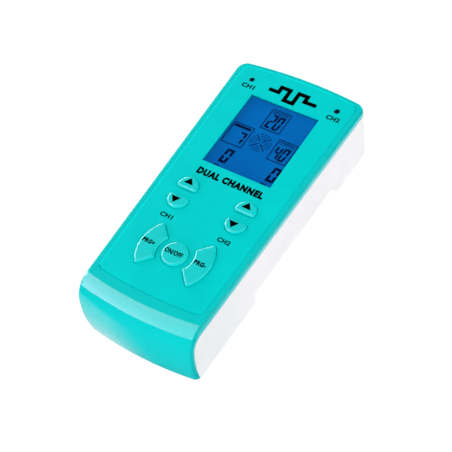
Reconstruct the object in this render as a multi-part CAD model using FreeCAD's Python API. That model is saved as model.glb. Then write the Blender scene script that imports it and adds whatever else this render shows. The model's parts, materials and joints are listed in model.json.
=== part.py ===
"""Hand-held two-channel nerve stimulator: case, face panel, display, keys, electronics, battery bay, clip.

Millimetres. +X is the channel 2 side, +Y the display end, +Z up out of the face.
The origin is the centre of the base, on the surface that the unit lies on.
"""
import FreeCAD, Part
import math
import os

V = FreeCAD.Vector

# ---- driving dimensions -------------------------------------------------------------------------
FACE_Z = 29.5            # plane of the face
FAR_Y = 71.6             # apex of the bowed display end
NOSE_Y = -71.6           # apex of the rounded nose
HALF_WIDTH = 29.45       # half width where the keys begin, at WAIST_Y
WAIST_Y = -52.0
TAPER = 0.0264           # growth of the half width per mm of length
SIDE_DRAFT = 0.7         # the sides lean in by this much at the base
FAR_BOW = 220.0          # plan radius of the display end
NOSE_BOW = 180.0         # plan radius of the nose
NOSE_AXIS_Y = NOSE_Y + NOSE_BOW
NOSE_FRONT_R = 55.0      # side-view radius of the nose's front
NOSE_APEX_Z = 9.5        # height where the nose stands out most
NOSE_TOP_R = 9.5         # side-view radius where the face turns over the nose
FAR_CORNER_R = 5.2
NOSE_CORNER_R = 3.2
FACE_EDGE_R = 1.4
BASE_EDGE_R = 0.8

PARTING_Z = 26.4         # the face shell ends here along the sides
PARTING_GAP = 0.08
NOSE_SKIN = 1.6          # thickness of the face shell where it wraps the nose
NOSE_SKIN_CORNER_R = 6.5
WALL = 2.0               # wall of the rear case
NOSE_WALL = 1.5          # inner end wall of the rear case behind the nose skin
TONGUE_INSET = 2.35      # locating tongue of the face shell, inside the rear walls
TONGUE_THICK = 1.0
TONGUE_DEPTH = 1.6

BLOCK_END_Y = -25.3      # the deep battery block ends here
RECESS_Z = 7.0           # floor of the clip recess, seen from below
RECESS_FAR_Y = 37.5
FOOT_START_Y = 41.5

PANEL_INSET = 3.2        # face panel, inside the edge of the body
PANEL_THICK = 0.8
PANEL_FAR_Y = 69.2
PANEL_NOSE_Y = -56.2
PANEL_CORNER_R = 3.0
PANEL_GAP = 0.1
PANEL_CHAMFER = 0.35     # bright bevel round the panel

LCD_Y = 33.0
LCD_HALF_X = 17.5
LCD_HALF_Y = 20.8
WINDOW_THICK = 0.75
WINDOW_MARGIN = 1.7
FIT_GAP = 0.1
GLASS_THICK = 1.8
GLASS_MARGIN = 0.45
GUIDE_INSET = 0.2        # light guide, inside the display opening
FRAME_MARGIN = 3.0       # display frame, outside the display opening
STRIP_HALF_X = 16.0      # conductive strips at both ends of the glass
STRIP_HALF_Y = 0.9
STRIP_INSET = 1.1
STRIP_ROOM = 2.6         # left free for the strips at both ends of the light guide

KEY_TOP_Z = 30.7
KEY_GAP = 0.18           # clearance around each key in the panel and shell
KEY_EDGE_R = 1.0
KEY_FLANGE = 0.7
KEY_FLANGE_TOP_Z = 26.25
KEY_FLANGE_THICK = 0.9
KEY_FOOT_Z = 24.95
CHANNEL_X = 14.7
CHANNEL_KEY_WIDTH = 9.8
CHANNEL_KEY_FLAT_Y = {"up": -4.7, "down": -8.8}
CHANNEL_KEY_LENGTH = 6.6
CHANNEL_KEY_CORNER_R = 1.0
ROUND_CORNER_PLAY = 0.05 # keeps a flat between a key's two round corners
LEAST_CORNER_R = 0.3
POWER_Y = -34.8
POWER_R = 5.9
CRESCENT_OUTER_R = 17.3
CRESCENT_INNER_R = 8.5
CRESCENT_TIP_ANGLE = 42.0
CRESCENT_INNER_ANGLE = 38.0
CRESCENT_CORNER_R = 0.9

BOARD_TOP_Z = 22.2
BOARD_THICK = 1.6
BOARD_BOTTOM_Z = BOARD_TOP_Z - BOARD_THICK
BOARD_HALF_X = 24.9
BOARD_CORNER_R = 3.0
BOARD_Y = (-54.5, 65.5)
BOARD_SCREW_X = 22.6
BOARD_SCREW_Y = (-50.8, 5.6, 56.0)
BOARD_POST_R = 2.1
POST_HOLE_R = 0.85
POST_HOLE_DEPTH = 4.0
BOARD_SCREW_R = 0.8
BOARD_SCREW_LENGTH = 3.6 # beyond the board
BOARD_SCREW_HEAD = (1.7, 1.3)      # radius and height
BOARD_SCREW_SLOT = (1.1, 0.25, 0.6)
MAT_HALF_X = 19.6
MAT_Y = (-53.6, 3.8)
MAT_SHEET_TOP_Z = 23.2
MAT_DOME_TOP_Z = 24.85
MAT_CORNER_R = 2.0
MAT_BLOCK_START = 0.4    # the blocks start this far above the board
MAT_BLOCK_INSET = 0.7    # the blocks are this much smaller than their keys
POCKET_R = 1.8           # hollow under each block
POCKET_DEPTH = 1.4
PAD_R = 1.1              # contact pad under each block
PAD_THICK = 0.1

LED_X = 22.1
LED_Y = 61.2
LENS_R = 1.3
LENS_FLANGE_R = 1.9
LENS_FLANGE_Z = (PARTING_Z - 1.1, PARTING_Z - 0.1)
LENS_ROUND_R = 0.4
LENS_SUNK = 0.1          # the lens ends this far under the face
LAMP_HALF_X = 1.0
LAMP_HALF_Y = 0.65
LAMP_HEIGHT = 1.1
LENS_OVER_LAMP = 0.3

CASE_SCREWS = ((26.6, 64.6), (-26.6, 64.6), (24.6, -19.6), (-24.6, -19.6))
BOSS_R = 3.0
BOSS_TOP_Z = 16.0
SCREW_SEAT_Z = 10.0
SCREW_R = 1.05
SCREW_LENGTH = 12.0
SCREW_HEAD = (2.2, 1.7)  # radius and height
SCREW_SLOT = (1.3, 0.3, 0.8)       # half length, half width and depth of the cross slot
SCREW_PLAY = 0.4         # the shank is this loose in the rear case
SEAT_R = 2.5
SCREW_HOLE_DEPTH = 8.0
SCREW_BITE = 0.05

SOCKET_X = 13.0
SOCKET_Z = 16.3
SOCKET_BORE_R = 1.3
SOCKET_BORE_LENGTH = 11.0
SOCKET_MOUTH_Y = 70.85
SOCKET_NOZZLE_LENGTH = 3.0
SOCKET_NOZZLE_R = 3.4
SOCKET_BODY = (9.0, 11.2, 8.2)

TRANSFORMER_X = 14.0
TRANSFORMER_Y = 43.5
CORE_HALF_X = 7.0
CORE_HALF_Y = 3.0
CORE_DEPTH = (1.0, 10.0)           # below the board, as are all depths in this group
CORE_WINDOW_X = (2.1, 4.9)         # each winding window, from the core's middle
CORE_WINDOW_DEPTH = (3.0, 8.0)
COIL_HALF_X = 4.7
COIL_HALF_Y = 4.9
COIL_DEPTH = (3.2, 7.8)
COIL_CORNER_R = 1.2
LIMB_HALF_X = 2.2                  # room for the core's middle limb
LIMB_HALF_Y = 3.1
INDUCTOR_Y = 20.0
INDUCTOR_FLANGE_R = 4.6
INDUCTOR_COIL_R = 3.7
INDUCTOR_DEPTH = 7.4
INDUCTOR_FLANGE = 1.2
CHIP_Y = -7.0
CHIP_HALF = 5.0
CHIP_THICK = 1.6
CHIP_LEADS = 11
CHIP_LEAD_PITCH = 0.8
CHIP_LEAD_HALF = 0.15
CHIP_LEAD_REACH = 6.0
CHIP_LEAD_THICK = 0.5
CHIP_STANDOFF = 0.1
TRANSISTOR_X = (9.5, 16.5)
TRANSISTOR_Y = 33.0
TRANSISTOR_SIZE = (4.8, 4.0, 1.7)
CAPACITOR_PLACES = ((-11.0, 20.0), (11.0, 20.0), (-13.0, -8.0))
CAPACITOR_R = 3.1
CAPACITOR_HEIGHT = 7.2
CAPACITOR_EDGE_R = 0.4
BUZZER_PLACE = (13.0, -8.0)
BUZZER_R = 5.6
BUZZER_HEIGHT = 4.8
BUZZER_HOLE_R = 0.9
BUZZER_HOLE_DEPTH = 1.5
CRYSTAL_Y = 6.0
CRYSTAL_SIZE = (4.8, 4.0, 2.4)
CRYSTAL_CORNER_R = 1.4

CELL_R = 5.2
CELL_LENGTH = 43.6
CELL_NUB = 0.9
CELL_Z = 8.5
CELL_PITCH = 10.9
CELL_MIDDLE_Y = -43.9
CELL_EDGE_R = 0.5
CELL_NUB_R = 1.9
SPRING_WIRE_R = 0.3
SPRING_COIL_R = 2.6
SPRING_TURNS = 2.5
BAY_HALF_X = 25.9
BAY_Y = (-60.9, -27.3)
BAY_ROOF_Z = 14.2
BAY_ROOF_THICK = 1.4
BAY_SHELL = 1.2           # cheeks and ledges of the bay
BAY_END = 1.4
BAY_LEDGE_Z = (1.0, 3.0)
LEDGE_REACH = 1.5        # the far ledges stand this far into the opening
HINGE_ROOM = 2.0         # left free behind the hinge
CONTACT_THICK = 0.35
CONTACT_HALF_Y = 4.2
CONTACT_FOOT_Z = 4.4

COVER_HALF_X = 24.35
COVER_THICK = 1.6
COVER_GAP = 0.25
HINGE_Y = -59.8
HINGE_Z = 1.3
HINGE_R = 1.3
HINGE_PIN_R = 0.8
HINGE_PIN_LENGTH = 0.95
LATCH_HALF_X = 7.0
LATCH_TOP_Z = 5.2
COVER_RIB_X = 19.0
COVER_RIB_HALF = 0.5
COVER_RIB_TOP_Z = 2.6
THUMB_GROOVES_Y = (-30.0, -31.8, -33.6)
THUMB_GROOVE_HALF_X = 5.0
THUMB_GROOVE_HALF_Y = 0.4
MARK_DEPTH = 0.35        # depth of the thumb grooves and of the opening arrow
ARROW_Y = (-37.0, -40.5) # base and point of the arrow that shows which end lifts
ARROW_HALF_X = 2.4
FOAM_HALF_X = 15.0
FOAM_Y = (-57.0, -31.0)
FOAM_CORNER_R = 2.0

RAIL_Y = 28.0
RAIL_HALF_X = 9.0
RAIL_NECK_HALF_Y = 2.0
RAIL_HEAD_HALF_Y = 4.5
RAIL_HEAD_Z = (4.2, 5.4)
CLIP_GAP = 0.3
CLIP_ARM_Z = (0.9, 2.6)
CLIP_ARM_END_Y = -21.0
CLIP_SIDE = 2.0          # the clip is this much wider than the rail on both sides
CLIP_WALL = 1.5
CLIP_ARM_CORNER_R = 5.0
CLIP_TIP_R = 1.6
CLIP_TIP_INSET = 4.0
CLIP_TIP_FROM_END = 6.0
CLIP_TIP_LIFT = 0.4


# ---- plain helpers ------------------------------------------------------------------------------
def box(x_low, x_high, y_low, y_high, z_low, z_high):
    """Box between two corners."""
    return Part.makeBox(x_high - x_low, y_high - y_low, z_high - z_low, V(x_low, y_low, z_low))


def rod_z(x, y, z_low, z_high, radius):
    return Part.makeCylinder(radius, z_high - z_low, V(x, y, z_low))


def rod_x(x_low, x_high, y, z, radius):
    return Part.makeCylinder(radius, x_high - x_low, V(x_low, y, z), V(1, 0, 0))


def rod_y(x, y_low, y_high, z, radius):
    return Part.makeCylinder(radius, y_high - y_low, V(x, y_low, z), V(0, 1, 0))


def joined(pieces):
    """One clean solid from pieces that overlap."""
    result = pieces[0]
    for piece in pieces[1:]:
        result = result.fuse(piece)
    return result.removeSplitter()


def line(start, end):
    return Part.LineSegment(start, end).toShape()


def arc(start, middle, end):
    return Part.Arc(start, middle, end).toShape()


def half_width(y):
    """Half width of the body at the face, which widens towards the display."""
    return HALF_WIDTH + TAPER * (y - WAIST_Y)


def bow_drop(x, radius):
    """How far a bowed end has fallen back at x from its apex."""
    return radius - math.sqrt(radius * radius - x * x)


def polar(radius, degrees, centre_y, z):
    angle = math.radians(degrees)
    return V(radius * math.cos(angle), centre_y + radius * math.sin(angle), z)


def upright_edges(solid, low_y=-1000.0, high_y=1000.0):
    """Edges that run mostly along Z, within a range of Y."""
    found = []
    for edge in solid.Edges:
        box_of_edge = edge.BoundBox
        tall = box_of_edge.ZLength > 2 * max(box_of_edge.XLength, box_of_edge.YLength)
        if tall and low_y < edge.CenterOfMass.y < high_y:
            found.append(edge)
    return found


def top_edges(solid, z):
    return [edge for edge in solid.Edges if edge.BoundBox.ZMin > z - 0.01]


def mirrored(solid):
    return solid.mirror(V(0, 0, 0), V(1, 0, 0))


def save(name, shapes):
    """Write one node; a list holds separate solids that share the node."""
    shape = Part.makeCompound(shapes) if isinstance(shapes, list) else shapes
    if len(shape.Solids) == 1:
        shape = shape.Solids[0]
    print(name, shape.ShapeType, len(shape.Solids), round(shape.Volume, 1), shape.isValid())
    shape.exportStep("parts/" + name + ".step")


# ---- body outline -------------------------------------------------------------------------------
def body_wire(z, inset):
    """Plan outline with straight tapered sides and a bowed display end, square beyond the nose."""
    nose_y = NOSE_Y - 10.0
    far_apex_y = FAR_Y - inset
    corner_x = half_width(far_apex_y) - inset
    corner_y = far_apex_y - bow_drop(corner_x, FAR_BOW)
    nose_x = half_width(nose_y) - inset
    nose_right = V(nose_x, nose_y, z)
    far_right = V(corner_x, corner_y, z)
    far_left = V(-corner_x, corner_y, z)
    nose_left = V(-nose_x, nose_y, z)
    edges = [line(nose_right, far_right), arc(far_right, V(0, far_apex_y, z), far_left)]
    edges += [line(far_left, nose_left), line(nose_left, nose_right)]
    return Part.Wire(edges)


def body_prism(inset, z_low, z_high):
    """The body's plan between two heights, with leaning sides and rounded display corners."""
    lean = SIDE_DRAFT / FACE_Z
    low_wire = body_wire(z_low, inset + lean * (FACE_Z - z_low))
    high_wire = body_wire(z_high, inset + lean * (FACE_Z - z_high))
    prism = Part.makeLoft([low_wire, high_wire], True, True)
    return prism.makeFillet(FAR_CORNER_R - inset, upright_edges(prism, low_y=0.0))


def nose_disc(inset, top_z, corner_r, bottom_z=0.0):
    """Solid of revolution whose rim is the nose: bowed in plan, round in side view."""
    radius = NOSE_FRONT_R - inset
    centre_y = NOSE_Y + NOSE_FRONT_R

    def rim(z):
        return V(0, centre_y - math.sqrt(radius ** 2 - (z - NOSE_APEX_Z) ** 2), z)

    low_axis = V(0, NOSE_AXIS_Y, bottom_z)
    high_axis = V(0, NOSE_AXIS_Y, top_z)
    edges = [line(high_axis, rim(top_z)), arc(rim(top_z), rim(NOSE_APEX_Z), rim(bottom_z))]
    edges += [line(rim(bottom_z), low_axis), line(low_axis, high_axis)]
    disc = Part.Face(Part.Wire(edges)).revolve(low_axis, V(0, 0, 1), 360)
    return disc.makeFillet(corner_r, top_edges(disc, top_z))


def recess_tool(offset):
    """What is missing under the body between the battery block and the far foot."""
    wide = 40.0
    below = -5.0
    slope = (FOOT_START_Y - RECESS_FAR_Y) / RECESS_Z
    points = [V(-wide, BLOCK_END_Y - offset, below), V(-wide, BLOCK_END_Y - offset, RECESS_Z + offset)]
    points.append(V(-wide, RECESS_FAR_Y + offset, RECESS_Z + offset))
    points.append(V(-wide, RECESS_FAR_Y + offset + slope * (RECESS_Z + offset - below), below))
    face = Part.Face(Part.makePolygon(points + [points[0]]))
    return face.extrude(V(2 * wide, 0, 0))


def round_face_edges(half):
    """Small rounding along the face's edge, growing to the nose corner radius, on the +X half."""
    holder = FreeCAD.newDocument("edges")
    base = holder.addObject("Part::Feature", "base")
    base.Shape = half
    rounding = holder.addObject("Part::Fillet", "rounding")
    rounding.Base = base
    chosen = []
    for number, edge in enumerate(half.Edges, 1):
        middle = edge.CenterOfMass
        at_nose = middle.y < WAIST_Y
        beside = middle.x > 0.9 * HALF_WIDTH
        on_outline = edge.BoundBox.ZMin > FACE_Z - 0.01 and edge.BoundBox.XMax > 1.0
        if on_outline and not (at_nose and not beside):
            chosen.append((number, FACE_EDGE_R, FACE_EDGE_R))
        elif at_nose and beside and edge.BoundBox.ZMax > FACE_Z - 0.1:
            starts_on_face = edge.valueAt(edge.FirstParameter).z > FACE_Z - 0.1
            radii = (FACE_EDGE_R, NOSE_CORNER_R) if starts_on_face else (NOSE_CORNER_R, FACE_EDGE_R)
            chosen.append((number,) + radii)
        elif at_nose and beside and edge.BoundBox.ZLength > NOSE_APEX_Z:
            chosen.append((number, NOSE_CORNER_R, NOSE_CORNER_R))
    rounding.Edges = chosen
    holder.recompute()
    shape = rounding.Shape.copy()
    FreeCAD.closeDocument(holder.Name)
    return shape


def outer_body():
    """The closed outer form of the whole unit, rounded on one half and mirrored."""
    form = body_prism(0.0, 0.0, FACE_Z).common(nose_disc(0.0, FACE_Z, NOSE_TOP_R))
    half = round_face_edges(form.common(box(0, 50, -100, 100, -5, 50)).Solids[0])
    body = joined([half, mirrored(half)]).cut(recess_tool(0.0)).Solids[0]
    low_edges = [edge for edge in body.Edges if edge.BoundBox.ZMax < 0.01]
    return body.makeFillet(BASE_EDGE_R, low_edges)


# ---- keys ---------------------------------------------------------------------------------------
def channel_key_form(side, way, z_low, z_high, grow):
    """Half-moon key: flat towards its partner, round away from it."""
    half = CHANNEL_KEY_WIDTH / 2 + grow
    flat_y = CHANNEL_KEY_FLAT_Y[way]
    sign = 1 if way == "up" else -1
    low_y, high_y = sorted((flat_y - sign * grow, flat_y + sign * (CHANNEL_KEY_LENGTH + grow)))
    x = side * CHANNEL_X
    form = box(x - half, x + half, low_y, high_y, z_low, z_high)
    middle = CHANNEL_KEY_LENGTH / 2
    round_edges = [edge for edge in upright_edges(form) if abs(edge.CenterOfMass.y - flat_y) > middle]
    form = form.makeFillet(half - ROUND_CORNER_PLAY, round_edges)
    reach = abs(grow) + 0.1
    flat_edges = [edge for edge in upright_edges(form) if abs(edge.CenterOfMass.y - flat_y) < reach]
    return form.makeFillet(max(CHANNEL_KEY_CORNER_R + grow, LEAST_CORNER_R), flat_edges)


def power_key_form(z_low, z_high, grow):
    return rod_z(0, POWER_Y, z_low, z_high, POWER_R + grow)


def crescent_key_form(side, z_low, z_high, grow):
    """Sector of a ring about the round key, with straight ends and rounded corners."""
    outer = CRESCENT_OUTER_R + grow
    inner = CRESCENT_INNER_R - grow
    tip = CRESCENT_TIP_ANGLE + math.degrees(grow / CRESCENT_OUTER_R)
    heel = CRESCENT_INNER_ANGLE + math.degrees(grow / CRESCENT_INNER_R)

    def point(radius, degrees):
        return polar(radius, degrees, POWER_Y, z_low)

    edges = [arc(point(outer, -tip), point(outer, 0), point(outer, tip))]
    edges.append(line(point(outer, tip), point(inner, heel)))
    edges.append(arc(point(inner, heel), point(inner, 0), point(inner, -heel)))
    edges.append(line(point(inner, -heel), point(outer, -tip)))
    form = Part.Face(Part.Wire(edges)).extrude(V(0, 0, z_high - z_low))
    form = form.makeFillet(max(CRESCENT_CORNER_R + grow, LEAST_CORNER_R), upright_edges(form))
    return form if side > 0 else mirrored(form)


def key_forms(z_low, z_high, grow):
    """Every key's plan as a prism, by node name."""
    forms = {}
    for side, channel in ((-1, "ch1"), (1, "ch2")):
        for way in ("up", "down"):
            name = "key_" + channel + "_" + way
            forms[name] = channel_key_form(side, way, z_low, z_high, grow)
    forms["key_program_up"] = crescent_key_form(-1, z_low, z_high, grow)
    forms["key_program_down"] = crescent_key_form(1, z_low, z_high, grow)
    forms["key_power"] = power_key_form(z_low, z_high, grow)
    return forms


def key_caps():
    """Key caps: a rounded top, a straight stem and a flange that keeps them in the shell."""
    stems = key_forms(KEY_FOOT_Z, KEY_TOP_Z, 0.0)
    flanges = key_forms(KEY_FLANGE_TOP_Z - KEY_FLANGE_THICK, KEY_FLANGE_TOP_Z, KEY_FLANGE)
    caps = {}
    for name, stem in stems.items():
        stem = stem.makeFillet(KEY_EDGE_R, top_edges(stem, KEY_TOP_Z))
        caps[name] = joined([stem, flanges[name]])
    return caps


def keypad_mat():
    """Silicone sheet on the board with one springy block under each key."""
    sheet = box(-MAT_HALF_X, MAT_HALF_X, MAT_Y[0], MAT_Y[1], BOARD_TOP_Z, MAT_SHEET_TOP_Z)
    sheet = sheet.makeFillet(MAT_CORNER_R, upright_edges(sheet))
    blocks = key_forms(BOARD_TOP_Z + MAT_BLOCK_START, MAT_DOME_TOP_Z, -MAT_BLOCK_INSET)
    mat = joined([sheet] + list(blocks.values()))
    roof_z = BOARD_TOP_Z + POCKET_DEPTH
    pockets = [rod_z(x, y, BOARD_TOP_Z - 0.1, roof_z, POCKET_R) for x, y in contact_places()]
    return mat.cut(Part.makeCompound(pockets))


def contact_places():
    """Middle of each key, where its block meets the board."""
    places = [(0, POWER_Y)]
    for side in (-1, 1):
        places.append((side * (CRESCENT_OUTER_R + CRESCENT_INNER_R) / 2, POWER_Y))
        for flat_y, sign in ((CHANNEL_KEY_FLAT_Y["up"], 1), (CHANNEL_KEY_FLAT_Y["down"], -1)):
            places.append((side * CHANNEL_X, flat_y + sign * CHANNEL_KEY_LENGTH / 2))
    return places


def key_contacts():
    """Pads on the board that each key's block closes."""
    return [rod_z(x, y, BOARD_TOP_Z, BOARD_TOP_Z + PAD_THICK, PAD_R) for x, y in contact_places()]


# ---- face shell and what it carries -------------------------------------------------------------
def panel_form(grow, z_low, z_high):
    """Face panel outline: tapered sides, both ends bowed, rounded corners."""
    inset = PANEL_INSET - grow
    far_x = half_width(PANEL_FAR_Y) - inset
    nose_x = half_width(PANEL_NOSE_Y) - inset
    far_y = PANEL_FAR_Y + grow - bow_drop(far_x, FAR_BOW)
    nose_y = PANEL_NOSE_Y - grow + bow_drop(nose_x, FAR_BOW)
    corners = [V(nose_x, nose_y, z_low), V(far_x, far_y, z_low)]
    corners += [V(-far_x, far_y, z_low), V(-nose_x, nose_y, z_low)]
    edges = [line(corners[0], corners[1]), arc(corners[1], V(0, PANEL_FAR_Y + grow, z_low), corners[2])]
    edges += [line(corners[2], corners[3]), arc(corners[3], V(0, PANEL_NOSE_Y - grow, z_low), corners[0])]
    form = Part.Face(Part.Wire(edges)).extrude(V(0, 0, z_high - z_low))
    return form.makeFillet(PANEL_CORNER_R + grow, upright_edges(form))


def display_block(margin, z_low, z_high):
    """Rectangle of the display, larger by a margin all round."""
    half_x = LCD_HALF_X + margin
    half_y = LCD_HALF_Y + margin
    return box(-half_x, half_x, LCD_Y - half_y, LCD_Y + half_y, z_low, z_high)


def face_openings(z_low, z_high):
    """Key and indicator openings through the face."""
    cuts = list(key_forms(z_low, z_high, KEY_GAP).values())
    cuts += [rod_z(side * LED_X, LED_Y, z_low, z_high, LENS_R + FIT_GAP) for side in (-1, 1)]
    return Part.makeCompound(cuts)


def face_panel():
    """Glossy inlay that fills the shallow pocket of the face shell."""
    panel = panel_form(0.0, FACE_Z - PANEL_THICK, FACE_Z)
    panel = panel.makeChamfer(PANEL_CHAMFER, top_edges(panel, FACE_Z))
    panel = panel.cut(display_block(0.0, 0.0, FACE_Z + 1))
    return panel.cut(face_openings(FACE_Z - 5, FACE_Z + 1))


def tongue():
    """Locating tongue along the sides and the display end, inside the rear case walls."""
    low_z = PARTING_Z - TONGUE_DEPTH
    outer = body_prism(TONGUE_INSET, low_z, PARTING_Z + 0.2)
    inner = body_prism(TONGUE_INSET + TONGUE_THICK, low_z - 1, PARTING_Z + 1)
    ring = outer.cut(inner)
    return ring.common(box(-50, 50, WAIST_Y, 100, 0, FACE_Z))


def front_shell(body):
    """Coloured shell: the face, and a skin that wraps over the nose down to the base."""
    core = nose_disc(NOSE_SKIN, PARTING_Z, NOSE_SKIN_CORNER_R, bottom_z=-3.0)
    shell = body.cut(core)
    low_z = BOARD_TOP_Z
    high_z = PARTING_Z + 0.2
    additions = [tongue()]
    for y in BOARD_SCREW_Y:
        additions += [rod_z(side * BOARD_SCREW_X, y, low_z, high_z, BOARD_POST_R) for side in (-1, 1)]
    additions += [rod_z(x, y, BOSS_TOP_Z + FIT_GAP, high_z, BOSS_R - 0.5) for x, y in CASE_SCREWS]
    for piece in additions:
        shell = shell.fuse(piece)
    pocket = panel_form(PANEL_GAP, FACE_Z - PANEL_THICK, FACE_Z + 1)
    window_z = FACE_Z - PANEL_THICK - WINDOW_THICK - FIT_GAP
    cuts = [pocket, display_block(WINDOW_MARGIN + FIT_GAP, window_z, FACE_Z)]
    cuts.append(display_block(GLASS_MARGIN + FIT_GAP, PARTING_Z - 1, FACE_Z))
    for y in BOARD_SCREW_Y:
        deep_z = low_z + POST_HOLE_DEPTH
        cuts += [rod_z(side * BOARD_SCREW_X, y, low_z - 1, deep_z, POST_HOLE_R) for side in (-1, 1)]
    deep_z = BOSS_TOP_Z + SCREW_HOLE_DEPTH
    cuts += [rod_z(x, y, BOSS_TOP_Z - 1, deep_z, SCREW_R + SCREW_BITE) for x, y in CASE_SCREWS]
    for tool in cuts:
        shell = shell.cut(tool)
    return shell.cut(face_openings(FACE_Z - 6, FACE_Z + 1)).Solids[0]


def display_window():
    top_z = FACE_Z - PANEL_THICK - 0.02
    return display_block(WINDOW_MARGIN, top_z - WINDOW_THICK, top_z)


def lcd_glass():
    """Two bonded glass plates; the rear one is longer and carries the contact ledge."""
    top_z = FACE_Z - PANEL_THICK - WINDOW_THICK - 2 * FIT_GAP
    return display_block(GLASS_MARGIN, top_z - GLASS_THICK, top_z)


def lcd_backlight():
    """Light guide under the glass, shorter so that the contact strips fit at both ends."""
    guide = display_block(-GUIDE_INSET, BOARD_TOP_Z + 0.2, lcd_bottom_z() - 0.1)
    reach = LCD_HALF_Y - STRIP_ROOM
    keep = box(-LCD_HALF_X, LCD_HALF_X, LCD_Y - reach, LCD_Y + reach, 0, FACE_Z)
    return guide.common(keep)


def lcd_bottom_z():
    return FACE_Z - PANEL_THICK - WINDOW_THICK - 2 * FIT_GAP - GLASS_THICK


def lcd_frame():
    """Moulded frame that holds the glass and the light guide on the board."""
    outer = display_block(FRAME_MARGIN, BOARD_TOP_Z, PARTING_Z - 0.3)
    inner = display_block(GLASS_MARGIN + FIT_GAP, BOARD_TOP_Z - 1, PARTING_Z)
    return outer.cut(inner)


def lcd_connector_strips():
    """Conductive rubber strips between the glass and the board."""
    strips = []
    for sign in (-1, 1):
        y = LCD_Y + sign * (LCD_HALF_Y - STRIP_INSET)
        low_y = y - STRIP_HALF_Y
        high_y = y + STRIP_HALF_Y
        strips.append(box(-STRIP_HALF_X, STRIP_HALF_X, low_y, high_y, BOARD_TOP_Z, lcd_bottom_z()))
    return strips


def indicator_lens(side):
    """Light pipe from the board lamp to the face."""
    x = side * LED_X
    top_z = FACE_Z - LENS_SUNK
    stem = rod_z(x, LED_Y, BOARD_TOP_Z + LAMP_HEIGHT + LENS_OVER_LAMP, top_z, LENS_R)
    stem = stem.makeFillet(LENS_ROUND_R, top_edges(stem, top_z))
    return joined([stem, rod_z(x, LED_Y, *LENS_FLANGE_Z, LENS_FLANGE_R)])


def indicator_leds():
    """Surface lamps on the board, one under each lens."""
    top_z = BOARD_TOP_Z + LAMP_HEIGHT
    low_y = LED_Y - LAMP_HALF_Y
    high_y = LED_Y + LAMP_HALF_Y
    places = (-LED_X, LED_X)
    return [box(x - LAMP_HALF_X, x + LAMP_HALF_X, low_y, high_y, BOARD_TOP_Z, top_z) for x in places]


# ---- rear case ----------------------------------------------------------------------------------
def case_cavity():
    """Hollow of the rear case, following its stepped base."""
    hollow = body_prism(WALL, WALL, FACE_Z + 1)
    hollow = hollow.common(nose_disc(NOSE_SKIN + NOSE_WALL, FACE_Z + 2, 2.0, bottom_z=-3.0))
    return hollow.cut(recess_tool(WALL))


def battery_bay_walls():
    """Roof, ends and side cheeks of the battery bay."""
    roof_top = BAY_ROOF_Z + BAY_ROOF_THICK
    side = BAY_HALF_X
    outside = side + BAY_SHELL
    roof = box(-outside, outside, BAY_Y[0] - BAY_END, BAY_Y[1], BAY_ROOF_Z, roof_top)
    nose_end = box(-outside, outside, BAY_Y[0] - BAY_END, BAY_Y[0], 0.5, roof_top)
    cheeks = [box(x, x + BAY_SHELL, BAY_Y[0], BAY_Y[1], BAY_LEDGE_Z[0], roof_top) for x in (-outside, side)]
    opening_x = COVER_HALF_X + COVER_GAP
    behind_hinge_y = HINGE_Y + HINGE_ROOM
    far_ledge_z = (COVER_THICK + 0.1, BAY_LEDGE_Z[1])
    ledges = []
    for low, high in ((-side, LEDGE_REACH - opening_x), (opening_x - LEDGE_REACH, side)):
        ledges.append(box(low, high, behind_hinge_y, BAY_Y[1], *far_ledge_z))
    for low, high in ((-side, -opening_x), (opening_x, side)):
        ledges.append(box(low, high, BAY_Y[0], behind_hinge_y, *BAY_LEDGE_Z))
    return [roof, nose_end] + cheeks + ledges


def cover_opening():
    """Opening in the base for the battery cover, its hinge pins and its latch."""
    half = COVER_HALF_X + COVER_GAP
    nose_y = HINGE_Y - HINGE_R - 0.2
    behind_hinge_y = HINGE_Y + HINGE_ROOM
    above_ledge_z = BAY_LEDGE_Z[1] + 1
    opening = box(-half, half, nose_y, BAY_Y[1], -1, COVER_THICK + 0.1)
    clear = half - LEDGE_REACH
    middle = box(-clear, clear, nose_y + HINGE_ROOM, BAY_Y[1], -1, above_ledge_z)
    knuckle = box(-half, half, nose_y, behind_hinge_y, -1, above_ledge_z)
    latch_half = LATCH_HALF_X + 0.2
    latch = box(-latch_half, latch_half, BAY_Y[1] - 1, BLOCK_END_Y + 1, -1, LATCH_TOP_Z + 0.2)
    pin_reach = half + HINGE_PIN_LENGTH + 0.15
    pins = rod_x(-pin_reach, pin_reach, HINGE_Y, HINGE_Z, HINGE_PIN_R + 0.1)
    return Part.makeCompound([opening, middle, knuckle, latch, pins])


def clip_rail():
    """T-shaped rail in the recess that carries the belt clip."""
    neck = box(-RAIL_HALF_X, RAIL_HALF_X, RAIL_Y - RAIL_NECK_HALF_Y, RAIL_Y + RAIL_NECK_HALF_Y,
               RAIL_HEAD_Z[1] - 0.2, RECESS_Z + 0.5)
    head = box(-RAIL_HALF_X, RAIL_HALF_X, RAIL_Y - RAIL_HEAD_HALF_Y, RAIL_Y + RAIL_HEAD_HALF_Y, *RAIL_HEAD_Z)
    return [neck, head]


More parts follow.
